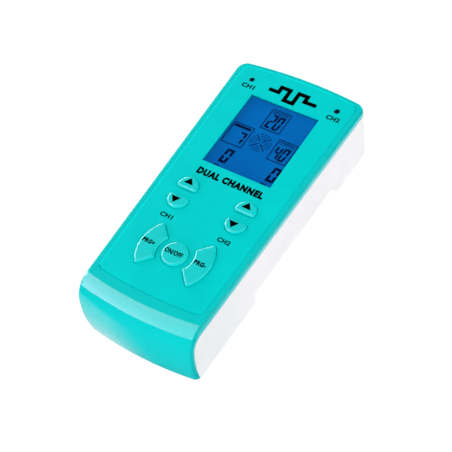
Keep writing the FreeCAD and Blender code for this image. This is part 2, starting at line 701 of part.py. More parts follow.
def rear_case(body):
    """Pale lower case with the battery bay, screw bosses and clip rail moulded in."""
    core = nose_disc(NOSE_SKIN + PARTING_GAP, PARTING_Z - PARTING_GAP, NOSE_SKIN_CORNER_R, bottom_z=-3.0)
    limits = body.common(core)
    case = limits.cut(case_cavity())
    bosses = [rod_z(x, y, 1.0 if y > 0 else RECESS_Z + 1, BOSS_TOP_Z, BOSS_R) for x, y in CASE_SCREWS]
    inside = joined(battery_bay_walls()).common(limits)
    case = joined([case, inside] + [boss.common(limits) for boss in bosses])
    case = joined([case] + clip_rail())
    cuts = [cover_opening()]
    for x, y in CASE_SCREWS:
        cuts.append(rod_z(x, y, -1, BOSS_TOP_Z + 1, SCREW_R + SCREW_PLAY))
        cuts.append(rod_z(x, y, -1, SCREW_SEAT_Z, SEAT_R))
    for side in (-1, 1):
        cuts.append(rod_y(side * SOCKET_X, FAR_Y - 8, FAR_Y + 2, SOCKET_Z, SOCKET_NOZZLE_R + FIT_GAP))
    for cut in cuts:
        case = case.cut(cut)
    return case.removeSplitter()


def case_screws():
    """Cross-slotted screws from the rear case into the face shell."""
    head_r, head_height = SCREW_HEAD
    long, narrow, deep = SCREW_SLOT
    slot_z = SCREW_SEAT_Z - head_height + deep
    screws = []
    for x, y in CASE_SCREWS:
        head = rod_z(x, y, SCREW_SEAT_Z - head_height, SCREW_SEAT_Z, head_r)
        shank = rod_z(x, y, SCREW_SEAT_Z - 0.2, SCREW_SEAT_Z + SCREW_LENGTH, SCREW_R)
        slots = [box(x - long, x + long, y - narrow, y + narrow, 0, slot_z)]
        slots.append(box(x - narrow, x + narrow, y - long, y + long, 0, slot_z))
        screws.append(joined([head, shank]).cut(Part.makeCompound(slots)))
    return screws


# ---- electronics --------------------------------------------------------------------------------
def below_board(x_low, x_high, y_low, y_high, depths):
    """Box hanging under the board, from the first depth to the second."""
    near, deep = depths
    return box(x_low, x_high, y_low, y_high, BOARD_BOTTOM_Z - deep, BOARD_BOTTOM_Z - near)


def main_board():
    """Circuit board, notched around the case bosses."""
    board = box(-BOARD_HALF_X, BOARD_HALF_X, BOARD_Y[0], BOARD_Y[1], BOARD_BOTTOM_Z, BOARD_TOP_Z)
    board = board.makeFillet(BOARD_CORNER_R, upright_edges(board))
    cuts = [rod_z(x, y, 0, FACE_Z, BOSS_R + 0.4) for x, y in CASE_SCREWS]
    for y in BOARD_SCREW_Y:
        cuts += [rod_z(side * BOARD_SCREW_X, y, 0, FACE_Z, BOARD_SCREW_R + 0.3) for side in (-1, 1)]
    return board.cut(Part.makeCompound(cuts))


def board_screws():
    """Slotted screws that hold the board on the face shell's posts."""
    head_r, head_height = BOARD_SCREW_HEAD
    long, narrow, deep = BOARD_SCREW_SLOT
    head_z = BOARD_BOTTOM_Z - head_height
    screws = []
    for y in BOARD_SCREW_Y:
        for x in (-BOARD_SCREW_X, BOARD_SCREW_X):
            head = rod_z(x, y, head_z, BOARD_BOTTOM_Z, head_r)
            shank = rod_z(x, y, BOARD_BOTTOM_Z - 0.2, BOARD_TOP_Z + BOARD_SCREW_LENGTH, BOARD_SCREW_R)
            slot = box(x - long, x + long, y - narrow, y + narrow, 0, head_z + deep)
            screws.append(joined([head, shank]).cut(slot))
    return screws


def output_socket(side):
    """Lead socket: a block under the board with a round nozzle through the end wall."""
    width, depth, height = SOCKET_BODY
    x = side * SOCKET_X
    back_y = SOCKET_MOUTH_Y - SOCKET_NOZZLE_LENGTH - depth
    body = box(x - width / 2, x + width / 2, back_y, back_y + depth, BOARD_BOTTOM_Z - height, BOARD_BOTTOM_Z)
    nozzle = rod_y(x, back_y + depth - 1, SOCKET_MOUTH_Y, SOCKET_Z, SOCKET_NOZZLE_R)
    bore = rod_y(x, SOCKET_MOUTH_Y - SOCKET_BORE_LENGTH, SOCKET_MOUTH_Y + 1, SOCKET_Z, SOCKET_BORE_R)
    return joined([body, nozzle]).cut(bore)


def transformer_core(side):
    """Closed ferrite core with a middle limb, one for each channel's output."""
    x = side * TRANSFORMER_X
    low_y = TRANSFORMER_Y - CORE_HALF_Y
    high_y = TRANSFORMER_Y + CORE_HALF_Y
    core = below_board(x - CORE_HALF_X, x + CORE_HALF_X, low_y, high_y, CORE_DEPTH)
    near, far = CORE_WINDOW_X
    for low_x, high_x in ((x - far, x - near), (x + near, x + far)):
        core = core.cut(below_board(low_x, high_x, low_y - 1, high_y + 1, CORE_WINDOW_DEPTH))
    return core


def transformer_windings():
    """Wound bobbins around the middle limbs."""
    windings = []
    for x in (-TRANSFORMER_X, TRANSFORMER_X):
        low_y = TRANSFORMER_Y - COIL_HALF_Y
        high_y = TRANSFORMER_Y + COIL_HALF_Y
        coil = below_board(x - COIL_HALF_X, x + COIL_HALF_X, low_y, high_y, COIL_DEPTH)
        coil = coil.makeFillet(COIL_CORNER_R, upright_edges(coil))
        limb_y = (TRANSFORMER_Y - LIMB_HALF_Y, TRANSFORMER_Y + LIMB_HALF_Y)
        windings.append(coil.cut(below_board(x - LIMB_HALF_X, x + LIMB_HALF_X, *limb_y, CORE_DEPTH)))
    return windings


def boost_inductor():
    """Drum-core coil that makes the pulse voltage."""
    low_z = BOARD_BOTTOM_Z - INDUCTOR_DEPTH
    lower = rod_z(0, INDUCTOR_Y, low_z, low_z + INDUCTOR_FLANGE, INDUCTOR_FLANGE_R)
    coil = rod_z(0, INDUCTOR_Y, low_z, BOARD_BOTTOM_Z, INDUCTOR_COIL_R)
    upper = rod_z(0, INDUCTOR_Y, BOARD_BOTTOM_Z - INDUCTOR_FLANGE, BOARD_BOTTOM_Z, INDUCTOR_FLANGE_R)
    return joined([coil, lower, upper])


def controller_chip():
    """Square controller with a row of leads on each side."""
    low_y = CHIP_Y - CHIP_HALF
    high_y = CHIP_Y + CHIP_HALF
    chip = below_board(-CHIP_HALF, CHIP_HALF, low_y, high_y, (CHIP_STANDOFF, CHIP_THICK))
    lead_depth = (0.0, CHIP_LEAD_THICK)
    leads = []
    for number in range(CHIP_LEADS):
        place = CHIP_LEAD_PITCH * (number - (CHIP_LEADS - 1) / 2)
        low = place - CHIP_LEAD_HALF
        high = place + CHIP_LEAD_HALF
        leads.append(below_board(low, high, CHIP_Y - CHIP_LEAD_REACH, CHIP_Y + CHIP_LEAD_REACH, lead_depth))
        leads.append(below_board(-CHIP_LEAD_REACH, CHIP_LEAD_REACH, CHIP_Y + low, CHIP_Y + high, lead_depth))
    return joined([chip] + leads)


def output_transistors():
    """Two flat transistors for each channel."""
    size_x, size_y, thick = TRANSISTOR_SIZE
    low_y = TRANSISTOR_Y - size_y / 2
    bodies = []
    for side in (-1, 1):
        for offset in TRANSISTOR_X:
            low_x = side * offset - size_x / 2
            bodies.append(below_board(low_x, low_x + size_x, low_y, low_y + size_y, (0.0, thick)))
    return bodies


def storage_capacitors():
    """Round electrolytic cans standing on the board's underside."""
    low_z = BOARD_BOTTOM_Z - CAPACITOR_HEIGHT
    cans = []
    for x, y in CAPACITOR_PLACES:
        can = rod_z(x, y, low_z, BOARD_BOTTOM_Z, CAPACITOR_R)
        low_edges = [edge for edge in can.Edges if edge.BoundBox.ZMax < low_z + 0.1]
        cans.append(can.makeFillet(CAPACITOR_EDGE_R, low_edges))
    return cans


def buzzer():
    """Flat round sounder with its sound hole."""
    x, y = BUZZER_PLACE
    low_z = BOARD_BOTTOM_Z - BUZZER_HEIGHT
    can = rod_z(x, y, low_z, BOARD_BOTTOM_Z, BUZZER_R)
    return can.cut(rod_z(x, y, low_z - 1, low_z + BUZZER_HOLE_DEPTH, BUZZER_HOLE_R))


def clock_crystal():
    """Flat metal can with round ends."""
    size_x, size_y, thick = CRYSTAL_SIZE
    low_y = CRYSTAL_Y - size_y / 2
    can = below_board(-size_x / 2, size_x / 2, low_y, low_y + size_y, (0.0, thick))
    return can.makeFillet(CRYSTAL_CORNER_R, upright_edges(can))


# ---- battery ------------------------------------------------------------------------------------
def cell_places():
    """Each cell's Y and the side that its raised end faces."""
    return [(CELL_MIDDLE_Y + CELL_PITCH * step, 1 if step % 2 else -1) for step in (-1, 0, 1)]


def battery_cells():
    """Three cells side by side, turned in turn."""
    half = CELL_LENGTH / 2
    cells = []
    for y, nub_side in cell_places():
        can = rod_x(-half, half, y, CELL_Z, CELL_R)
        ends = [edge for edge in can.Edges if edge.BoundBox.XLength < 0.1]
        can = can.makeFillet(CELL_EDGE_R, ends)
        nub_low, nub_high = sorted((nub_side * (half - 0.5), nub_side * (half + CELL_NUB)))
        cells.append(joined([can, rod_x(nub_low, nub_high, y, CELL_Z, CELL_NUB_R)]))
    return cells


def battery_springs():
    """Coil springs that press on the flat end of each cell."""
    start_x = CELL_LENGTH / 2 + 2 * SPRING_WIRE_R
    length = BAY_HALF_X - CONTACT_THICK - start_x - 2 * SPRING_WIRE_R
    springs = []
    for y, nub_side in cell_places():
        path = Part.makeHelix(length / SPRING_TURNS, length, SPRING_COIL_R)
        profile = Part.Wire(Part.makeCircle(SPRING_WIRE_R, V(SPRING_COIL_R, 0, 0), V(0, 1, 0)))
        coil = Part.Wire(path).makePipeShell([profile], True, True)
        coil = Part.Solid(coil) if coil.ShapeType == "Shell" else coil
        coil.rotate(V(0, 0, 0), V(0, 1, 0), -90 * nub_side)
        coil.translate(V(-nub_side * start_x, y, CELL_Z))
        springs.append(coil)
    return springs


def battery_contact_plates():
    """Metal plates at the bay's ends; two bridge neighbouring cells."""
    low_y = CELL_MIDDLE_Y - CELL_PITCH
    high_y = CELL_MIDDLE_Y + CELL_PITCH
    groups = {-1: ((low_y, low_y), (CELL_MIDDLE_Y, high_y)), 1: ((low_y, CELL_MIDDLE_Y), (high_y, high_y))}
    plates = []
    for side, pairs in groups.items():
        x_low, x_high = sorted((side * (BAY_HALF_X - CONTACT_THICK), side * BAY_HALF_X))
        for first_y, last_y in pairs:
            y_low = first_y - CONTACT_HALF_Y
            y_high = last_y + CONTACT_HALF_Y
            plates.append(box(x_low, x_high, y_low, y_high, CONTACT_FOOT_Z, BAY_ROOF_Z - 0.4))
    return plates


def battery_cover():
    """Cover plate with a rolled hinge edge, two pins, a latch lip, thumb grooves and an arrow."""
    far_y = BAY_Y[1] - COVER_GAP
    plate = box(-COVER_HALF_X, COVER_HALF_X, HINGE_Y, far_y, 0, COVER_THICK)
    knuckle = rod_x(-COVER_HALF_X, COVER_HALF_X, HINGE_Y, HINGE_Z, HINGE_R)
    reach = COVER_HALF_X + HINGE_PIN_LENGTH
    pin = rod_x(-reach, reach, HINGE_Y, HINGE_Z, HINGE_PIN_R)
    bridge = box(-LATCH_HALF_X, LATCH_HALF_X, far_y - 0.5, BLOCK_END_Y, 0, COVER_THICK)
    lip = box(-LATCH_HALF_X, LATCH_HALF_X, BAY_Y[1] + 0.1, BLOCK_END_Y, 0, LATCH_TOP_Z)
    pieces = [plate, knuckle, pin, bridge, lip]
    for x in (-COVER_RIB_X, COVER_RIB_X):
        rib = (x - COVER_RIB_HALF, x + COVER_RIB_HALF, HINGE_Y + 4, far_y - 2.5)
        pieces.append(box(*rib, COVER_THICK - 0.2, COVER_RIB_TOP_Z))
    cover = joined(pieces)
    for y in THUMB_GROOVES_Y:
        groove = (-THUMB_GROOVE_HALF_X, THUMB_GROOVE_HALF_X, y - THUMB_GROOVE_HALF_Y, y + THUMB_GROOVE_HALF_Y)
        cover = cover.cut(box(*groove, -1, MARK_DEPTH))
    base_y, point_y = ARROW_Y
    corners = [V(-ARROW_HALF_X, base_y, -1), V(ARROW_HALF_X, base_y, -1), V(0, point_y, -1)]
    arrow = Part.Face(Part.makePolygon(corners + [corners[0]])).extrude(V(0, 0, 1 + MARK_DEPTH))
    return cover.cut(arrow)


def cover_foam_pad():
    """Foam that keeps the cells from rattling."""
    top_z = CELL_Z - CELL_R - 0.1
    pad = box(-FOAM_HALF_X, FOAM_HALF_X, FOAM_Y[0], FOAM_Y[1], COVER_THICK, top_z)
    return pad.makeFillet(FOAM_CORNER_R, upright_edges(pad))


# ---- belt clip ----------------------------------------------------------------------------------
def belt_clip():
    """One-piece clip: a channel on the rail and a springy arm with a raised tip."""
    half_x = RAIL_HALF_X + CLIP_SIDE
    inner_y = RAIL_HEAD_HALF_Y + CLIP_GAP
    outer_y = inner_y + CLIP_WALL
    floor_z = RAIL_HEAD_Z[0] - CLIP_GAP
    top_z = RECESS_Z - CLIP_GAP
    root = box(-half_x, half_x, RAIL_Y - outer_y, RAIL_Y + outer_y, CLIP_ARM_Z[0], top_z)
    groove_z = RAIL_HEAD_Z[1] + CLIP_GAP
    head_room = box(-half_x - 1, half_x + 1, RAIL_Y - inner_y, RAIL_Y + inner_y, floor_z, groove_z)
    neck_half = RAIL_NECK_HALF_Y + CLIP_GAP
    neck_room = box(-half_x - 1, half_x + 1, RAIL_Y - neck_half, RAIL_Y + neck_half, floor_z, top_z + 1)
    channel = root.cut(head_room).cut(neck_room)
    arm = box(-half_x, half_x, CLIP_ARM_END_Y, RAIL_Y - outer_y + 0.5, *CLIP_ARM_Z)
    arm = arm.makeFillet(CLIP_ARM_CORNER_R, upright_edges(arm, high_y=0.0))
    tip_x = half_x - CLIP_TIP_INSET
    tip = rod_x(-tip_x, tip_x, CLIP_ARM_END_Y + CLIP_TIP_FROM_END, CLIP_ARM_Z[1] + CLIP_TIP_LIFT, CLIP_TIP_R)
    tip = tip.common(box(-half_x, half_x, CLIP_ARM_END_Y, RAIL_Y, CLIP_ARM_Z[0] + 0.2, RECESS_Z))
    return joined([channel, arm, tip])


# ---- build --------------------------------------------------------------------------------------
def main():
    os.makedirs("parts", exist_ok=True)
    body = outer_body()
    save("front_shell", front_shell(body))
    save("rear_case", rear_case(body))
    save("face_panel", face_panel())
    save("display_window", display_window())
    save("lcd_glass", lcd_glass())
    save("lcd_frame", lcd_frame())
    save("lcd_backlight", lcd_backlight())
    save("lcd_connector_strips", lcd_connector_strips())
    for name, cap in key_caps().items():
        save(name, cap)
    save("keypad_mat", keypad_mat())
    save("key_contacts", key_contacts())
    for side, channel in ((-1, "ch1"), (1, "ch2")):
        save(channel + "_indicator_lens", indicator_lens(side))
        save(channel + "_output_socket", output_socket(side))
        save(channel + "_transformer_core", transformer_core(side))
    save("indicator_leds", indicator_leds())
    save("transformer_windings", transformer_windings())
    save("main_board", main_board())
    save("boost_inductor", boost_inductor())
    save("controller_chip", controller_chip())
    save("output_transistors", output_transistors())
    save("storage_capacitors", storage_capacitors())
    save("buzzer", buzzer())
    save("clock_crystal", clock_crystal())
    save("board_screws", board_screws())
    save("case_screws", case_screws())
    save("battery_cells", battery_cells())
    save("battery_springs", battery_springs())
    save("battery_contact_plates", battery_contact_plates())
    save("battery_cover", battery_cover())
    save("cover_foam_pad", cover_foam_pad())
    save("belt_clip", belt_clip())


main()
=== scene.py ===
import json
import math

import bmesh
import bpy
from mathutils import Matrix, Vector


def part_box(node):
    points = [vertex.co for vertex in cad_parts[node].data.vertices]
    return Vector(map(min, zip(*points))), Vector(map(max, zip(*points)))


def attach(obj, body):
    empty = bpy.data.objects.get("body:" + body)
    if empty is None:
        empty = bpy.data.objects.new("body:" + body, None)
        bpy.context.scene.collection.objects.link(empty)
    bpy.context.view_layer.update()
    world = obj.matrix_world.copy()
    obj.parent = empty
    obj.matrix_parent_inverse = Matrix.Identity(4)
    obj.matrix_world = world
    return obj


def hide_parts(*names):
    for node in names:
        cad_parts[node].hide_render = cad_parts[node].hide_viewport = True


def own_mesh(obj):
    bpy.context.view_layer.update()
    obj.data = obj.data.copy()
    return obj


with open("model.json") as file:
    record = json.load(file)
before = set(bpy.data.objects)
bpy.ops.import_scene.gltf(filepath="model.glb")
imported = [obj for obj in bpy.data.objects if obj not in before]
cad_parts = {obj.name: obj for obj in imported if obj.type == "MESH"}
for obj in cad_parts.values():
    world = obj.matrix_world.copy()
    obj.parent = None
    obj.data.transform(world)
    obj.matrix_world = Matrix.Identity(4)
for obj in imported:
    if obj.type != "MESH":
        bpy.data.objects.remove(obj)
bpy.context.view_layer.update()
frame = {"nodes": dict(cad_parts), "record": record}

MM = 0.001
NODES = frame["nodes"]

# ---------------------------------------------------------------- sizes, mm
FACE_Z = 29.5            # top of the face panel
KEY_TOP_Z = 30.7         # top of every key
PANEL_THICK = 0.8
INK = 0.03               # thickness of printed ink
FAINT_INK = 0.6          # thickness of the display's faint ink, as a share of INK
CHANNEL_X = 14.7         # middle of each channel's pair of keys
CELL_HALF_LENGTH = 22.5
WELD = 0.001             # points of a CAD node nearer than this are one point
LETTER_WELD = 0.0001     # the same in lettering, as a share of its size

GROOVE_PLAY = 0.05       # the groove's walls reach this far past the panel's own height
GROOVE_LEFT_X = -20.5    # the groove's left run lies beyond this
GROOVE_MIDDLE_Y = 6.5    # its end runs lie further than GROOVE_REACH from here
GROOVE_REACH = 61.0
GROOVE_NOSE_Y = -53.5    # no painted glow nearer the nose than this
WORN_X = -27.0           # the worn edge of the shell lies beyond this
WORN_NOSE_Y = -58.0      # and stops here
WORN_TURN = 0.02         # it faces left by at least this much

GLASS_INK_GAP = 0.02     # the display's ink starts this far over the glass
BOX_LINE = 0.5
HEADING_RULE = 0.3       # line under a box's heading
HEADING_RULE_DROP = 2.1  # how far it lies under the box's top
HEADING_DASH = 0.8       # height of the heading's dashes
HEADING_DASHES = 7
HEADING_DASH_SHARE = 0.7 # of each dash's room
HEADING_MARGIN = 1.0
WHEEL_PLACE = (0.0, 32.3)
WHEEL_HUB_R = 0.7
WHEEL_RIM_R = 5.2
WHEEL_CROSS_LINE = 0.5
WHEEL_FAN_RADII = (2.4, 3.6, 4.8)
WHEEL_FAN_LINE = 0.4
WHEEL_FAN_DEGREES = 60
WHEEL_FAN_STEPS = 6
WHEEL_FAN_SHARE = 0.8    # of each step is drawn

MAT_START = 0.15         # the mat's sheet starts this far over the board
MAT_SHEET_TOP = 1.0      # its top, over the board
MAT_CORNER_R = 2.0
MAT_BLOCK_GAP = 0.01     # between the sheet and the blocks on it
MAT_TOP_PLAY = 0.01      # a level face this near the blocks' tops is one of them

# ---------------------------------------------------------------- colours, linear
TEAL = (0.0, 0.62, 0.60)
TEAL_DEEP = (0.0, 0.60, 0.585)
TEAL_LIGHT = (0.0, 0.66, 0.64)
TEAL_PAINTED_SHADE = (0.0, 0.44, 0.43)   # painted shade: the shell darkened where it turns over the right edge
TEAL_PAINTED_HIGHLIGHT = (0.09, 0.62, 0.65)    # painted highlight: the pale very rim of that edge
# Painted shade and highlight on the edge, by how far the surface faces right, and where they have
# taken over.
EDGE_PAINTED_SHADE_COLOURS = ((0.0, TEAL), (0.7, TEAL_PAINTED_SHADE), (0.88, TEAL_PAINTED_SHADE), (1.0, TEAL_PAINTED_HIGHLIGHT))
EDGE_PAINTED_SHADE_FULL = 0.2
SLEEVE_GREY = (0.16, 0.17, 0.18)
SLEEVE_BLUE = (0.02, 0.06, 0.12)
CELL_END = (0.55, 0.55, 0.53)

NOISE_LOW, NOISE_HIGH = 0.3, 0.7   # a noise hardly leaves this span
DRIFT_SCALE = 90.0                 # slow colour drift of a moulding, per metre
PLATED = 0.7                       # how metallic a worn or plated metal is

# ---------------------------------------------------------------- print
# Digits of the display: symbol, lower left corner, width, height and stroke, mm.
DIGITS = (
    ("2", -3.7, 40.8, 3.1, 7.9, 1.0),
    ("0", -0.1, 40.8, 3.1, 7.9, 1.0),
    ("7", -11.5, 27.4, 3.6, 6.7, 1.0),
    ("4", 7.7, 26.9, 3.0, 7.5, 1.0),
    ("0", 11.2, 26.9, 3.0, 7.5, 1.0),
    ("0", -11.8, 15.5, 3.8, 8.1, 1.25),
    ("0", 12.3, 15.4, 3.9, 8.2, 1.25),
)
SEGMENTS = {"0": "abcdef", "2": "abged", "4": "fgbc", "7": "abc"}
DIGIT_LEAN = 0.1         # sideways per height
# Boxes round the digits: left, right, low and high, mm.
BOXES = (
    (-4.7, 4.9, 39.8, 51.3),
    (-16.5, -6.3, 26.0, 37.9),
    (7.0, 16.3, 26.0, 37.6),
)
HEADER_BAR = (-15.9, 36.5, -7.3, 36.5, 0.9)   # in the left box: both ends and height
# Rows of three small marks under the two lowest digits.
UNIT_MARKS_X = (-12.3, 11.4)
UNIT_MARKS_Y = 13.5
UNIT_MARK_PITCH = 0.95
UNIT_MARK_WIDTH = 0.7
UNIT_MARK_HEIGHT = 0.9
# Arrows on the channel keys: outlines from the middle of the pair.
ARROW_UP = ((-0.2, 1.0), (-2.5, -2.2), (2.1, -2.2))
ARROW_DOWN = ((-0.9, -13.3), (1.4, -10.1), (-3.2, -10.1))
# The pulse wave's path and stroke.
PULSE_PATH = ((-11.0, 59.7), (-7.0, 59.7), (-7.0, 62.8), (-2.5, 62.8), (-2.5, 56.6),
              (2.0, 56.6), (2.0, 62.8), (6.5, 62.8), (6.5, 59.7), (11.5, 59.7))
PULSE_STROKE = 2.0
# Labels: name, words, middle x and y, top, width, cap height, body and weight.
LABELS = (
    ("label_ch1", "CH1", -14.6, -19.7, FACE_Z, 6.2, 2.3, "case", 0.04),
    ("label_ch2", "CH2", 14.6, -19.9, FACE_Z, 6.2, 2.3, "case", 0.04),
    ("label_lamp_ch1", "CH1", -21.5, 57.1, FACE_Z, 6.5, 2.5, "case", 0.045),
    ("label_lamp_ch2", "CH2", 22.6, 56.8, FACE_Z, 6.5, 2.5, "case", 0.045),
    ("label_power", "ON/OFF", -0.5, -34.7, KEY_TOP_Z, 8.6, 2.4, "key_power", 0.05),
    ("label_program_up", "PRG+", -13.2, -34.6, KEY_TOP_Z, 6.0, 2.2, "key_program_up", 0.06),
    ("label_program_down", "PRG-", 12.5, -34.4, KEY_TOP_Z, 5.8, 2.2, "key_program_down", 0.06),
    ("label_model_line", "DUAL CHANNEL", 0.6, 7.0, FACE_Z, 33.4, 3.7, "case", 0.08),
)


def socket_set(node, **values):
    """Sets constants on a shader's own sockets. Underscores stand for spaces."""
    for key, value in values.items():
        node.inputs[key.replace("_", " ")].default_value = value


def shader_of(material):
    """The Principled shader of a material."""
    return next(n for n in material.node_tree.nodes if n.type == "BSDF_PRINCIPLED")


def blank_material(name):
    """A node material with one Principled shader; returns material, nodes, links, shader."""
    material = bpy.data.materials.new(name)
    material.use_nodes = True
    return material, material.node_tree.nodes, material.node_tree.links, shader_of(material)


def noise(nodes, links, scale, detail=3.0):
    """Noise read from the piece's own coordinates, scale per metre."""
    place = nodes.new("ShaderNodeTexCoord")
    texture = nodes.new("ShaderNodeTexNoise")
    socket_set(texture, Scale=scale, Detail=detail, Roughness=0.55)
    links.new(place.outputs["Object"], texture.inputs["Vector"])
    return texture.outputs["Fac"]


def ramp(nodes, links, source, stops):
    """Colour ramp over stops of (position, rgb)."""
    blend = nodes.new("ShaderNodeValToRGB")
    elements = blend.color_ramp.elements
    while len(elements) < len(stops):
        elements.new(0.5)
    for element, (position, colour) in zip(elements, stops):
        element.position = position
        element.color = (*colour, 1.0)
    links.new(source, blend.inputs["Fac"])
    return blend.outputs["Color"]


def tint(nodes, links, source, shader, dark, light):
    """Colours a shader from dark to light over a noise."""
    links.new(ramp(nodes, links, source, [(NOISE_LOW, dark), (NOISE_HIGH, light)]),
              shader.inputs["Base Color"])


def spread(nodes, links, source, low, high):
    """Maps a noise onto low-high."""
    change = nodes.new("ShaderNodeMapRange")
    socket_set(change, From_Min=NOISE_LOW, From_Max=NOISE_HIGH, To_Min=low, To_Max=high)
    links.new(source, change.inputs["Value"])
    return change.outputs["Result"]


def bump(nodes, links, shader, height, strength, distance):
    """Bump of the given strength and depth, in metres."""
    relief = nodes.new("ShaderNodeBump")
    socket_set(relief, Strength=strength, Distance=distance)
    links.new(height, relief.inputs["Height"])
    links.new(relief.outputs["Normal"], shader.inputs["Normal"])


def moulded(name, dark, light, rough_low, rough_high, grain, depth, coat=0.0, coat_rough=0.05,
            specular=0.5):
    """Moulded plastic, rubber or ink: slow colour drift, fine grain, uneven gloss.

    The grain is per metre and its depth in metres.
    """
    material, nodes, links, shader = blank_material(name)
    tint(nodes, links, noise(nodes, links, DRIFT_SCALE, detail=2.0), shader, dark, light)
    fine = noise(nodes, links, grain, detail=4.0)
    links.new(spread(nodes, links, fine, rough_low, rough_high), shader.inputs["Roughness"])
    bump(nodes, links, shader, fine, strength=0.25, distance=depth)
    socket_set(shader, Coat_Weight=coat, Coat_Roughness=coat_rough, Specular_IOR_Level=specular)
    return material


def metal(name, dark, light, rough_low, rough_high, grain, stretch=(1, 1, 1)):
    """Drawn or plated metal; stretch below 1 draws its grain out along that axis."""
    material, nodes, links, shader = blank_material(name)
    place = nodes.new("ShaderNodeTexCoord")
    scale = nodes.new("ShaderNodeMapping")
    scale.inputs["Scale"].default_value = stretch
    texture = nodes.new("ShaderNodeTexNoise")
    socket_set(texture, Scale=grain, Detail=4.0)
    links.new(place.outputs["Object"], scale.inputs["Vector"])
    links.new(scale.outputs["Vector"], texture.inputs["Vector"])
    tint(nodes, links, texture.outputs["Fac"], shader, dark, light)
    links.new(spread(nodes, links, texture.outputs["Fac"], rough_low, rough_high),
              shader.inputs["Roughness"])
    bump(nodes, links, shader, texture.outputs["Fac"], strength=0.2, distance=0.00002)
    socket_set(shader, Metallic=PLATED)
    return material


def window_material():
    """Clear acrylic: reflects, lets lamp light through, faint moulding ripple."""
    material, nodes, links, shader = blank_material("clear_window")
    ripple = noise(nodes, links, 120.0, detail=1.0)
    tint(nodes, links, ripple, shader, (0.93, 0.97, 1.0), (0.97, 0.99, 1.0))
    bump(nodes, links, shader, ripple, strength=0.05, distance=0.00002)
    socket_set(shader, Transmission_Weight=1.0, Roughness=0.02, IOR=1.3)
    output = next(n for n in nodes if n.type == "OUTPUT_MATERIAL")
    path = nodes.new("ShaderNodeLightPath")
    through = nodes.new("ShaderNodeBsdfTransparent")
    choose = nodes.new("ShaderNodeMixShader")
    links.new(path.outputs["Is Shadow Ray"], choose.inputs["Fac"])
    links.new(shader.outputs["BSDF"], choose.inputs[1])
    links.new(through.outputs["BSDF"], choose.inputs[2])
    links.new(choose.outputs["Shader"], output.inputs["Surface"])
    return material


def display_material():
    """Back-lit blue glass with a slow drift of its glow."""
    material, nodes, links, shader = blank_material("display_glass")
    cloud = noise(nodes, links, 45.0, detail=2.0)
    blue = ramp(nodes, links, cloud,
                [(NOISE_LOW, (0.0, 0.072, 0.245)), (NOISE_HIGH, (0.0, 0.085, 0.27))])
    links.new(blue, shader.inputs["Base Color"])
    links.new(blue, shader.inputs["Emission Color"])
    fine = noise(nodes, links, 4000.0, detail=1.0)
    links.new(spread(nodes, links, fine, 0.25, 0.35), shader.inputs["Roughness"])
    socket_set(shader, Emission_Strength=0.56, Specular_IOR_Level=0.0)
    return material


def lamp_material():
    """Dark tinted lens."""
    material, nodes, links, shader = blank_material("lens_dark")
    cloud = noise(nodes, links, 600.0, detail=2.0)
    tint(nodes, links, cloud, shader, (0.002, 0.006, 0.02), (0.004, 0.012, 0.03))
    links.new(spread(nodes, links, cloud, 0.08, 0.14), shader.inputs["Roughness"])
    socket_set(shader, Specular_IOR_Level=0.15)
    return material


def board_material():
    """Green solder mask with paler tracks under it."""
    material, nodes, links, shader = blank_material("board")
    place = nodes.new("ShaderNodeTexCoord")
    tracks = nodes.new("ShaderNodeTexBrick")
    socket_set(tracks, Color1=(0.004, 0.075, 0.03, 1), Color2=(0.006, 0.095, 0.04, 1),
               Mortar=(0.03, 0.16, 0.06, 1), Scale=260.0, Mortar_Size=0.012, Row_Height=0.35)
    links.new(place.outputs["Object"], tracks.inputs["Vector"])
    links.new(tracks.outputs["Color"], shader.inputs["Base Color"])
    fine = noise(nodes, links, 2500.0)
    links.new(spread(nodes, links, fine, 0.25, 0.4), shader.inputs["Roughness"])
    bump(nodes, links, shader, tracks.outputs["Fac"], strength=0.3, distance=0.00003)
    return material


def winding_material():
    """Enamelled copper wire, turn beside turn."""
    material, nodes, links, shader = blank_material("copper")
    place = nodes.new("ShaderNodeTexCoord")
    turns = nodes.new("ShaderNodeTexWave")
    turns.wave_type = "BANDS"
    turns.bands_direction = "Y"
    socket_set(turns, Scale=900.0, Distortion=0.6, Detail=1.0)
    links.new(place.outputs["Object"], turns.inputs["Vector"])
    links.new(ramp(nodes, links, turns.outputs["Fac"],
                   [(0.0, (0.20, 0.06, 0.02)), (1.0, (0.80, 0.34, 0.16))]),
              shader.inputs["Base Color"])
    links.new(spread(nodes, links, turns.outputs["Fac"], 0.25, 0.35), shader.inputs["Roughness"])
    bump(nodes, links, shader, turns.outputs["Fac"], strength=0.6, distance=0.00006)
    socket_set(shader, Metallic=1.0)
    return material


def striped_material():
    """Layered rubber: thin conducting and insulating layers by turns along X."""
    material, nodes, links, shader = blank_material("striped_rubber")
    place = nodes.new("ShaderNodeTexCoord")
    layers = nodes.new("ShaderNodeTexWave")
    layers.wave_type = "BANDS"
    layers.bands_direction = "X"
    socket_set(layers, Scale=800.0, Distortion=0.2, Detail=1.0)
    links.new(place.outputs["Object"], layers.inputs["Vector"])
    links.new(ramp(nodes, links, layers.outputs["Fac"],
                   [(0.35, (0.015, 0.015, 0.017)), (0.65, (0.32, 0.22, 0.21))]),
              shader.inputs["Base Color"])
    links.new(spread(nodes, links, layers.outputs["Fac"], 0.5, 0.65), shader.inputs["Roughness"])
    bump(nodes, links, shader, layers.outputs["Fac"], strength=0.2, distance=0.00002)
    return material


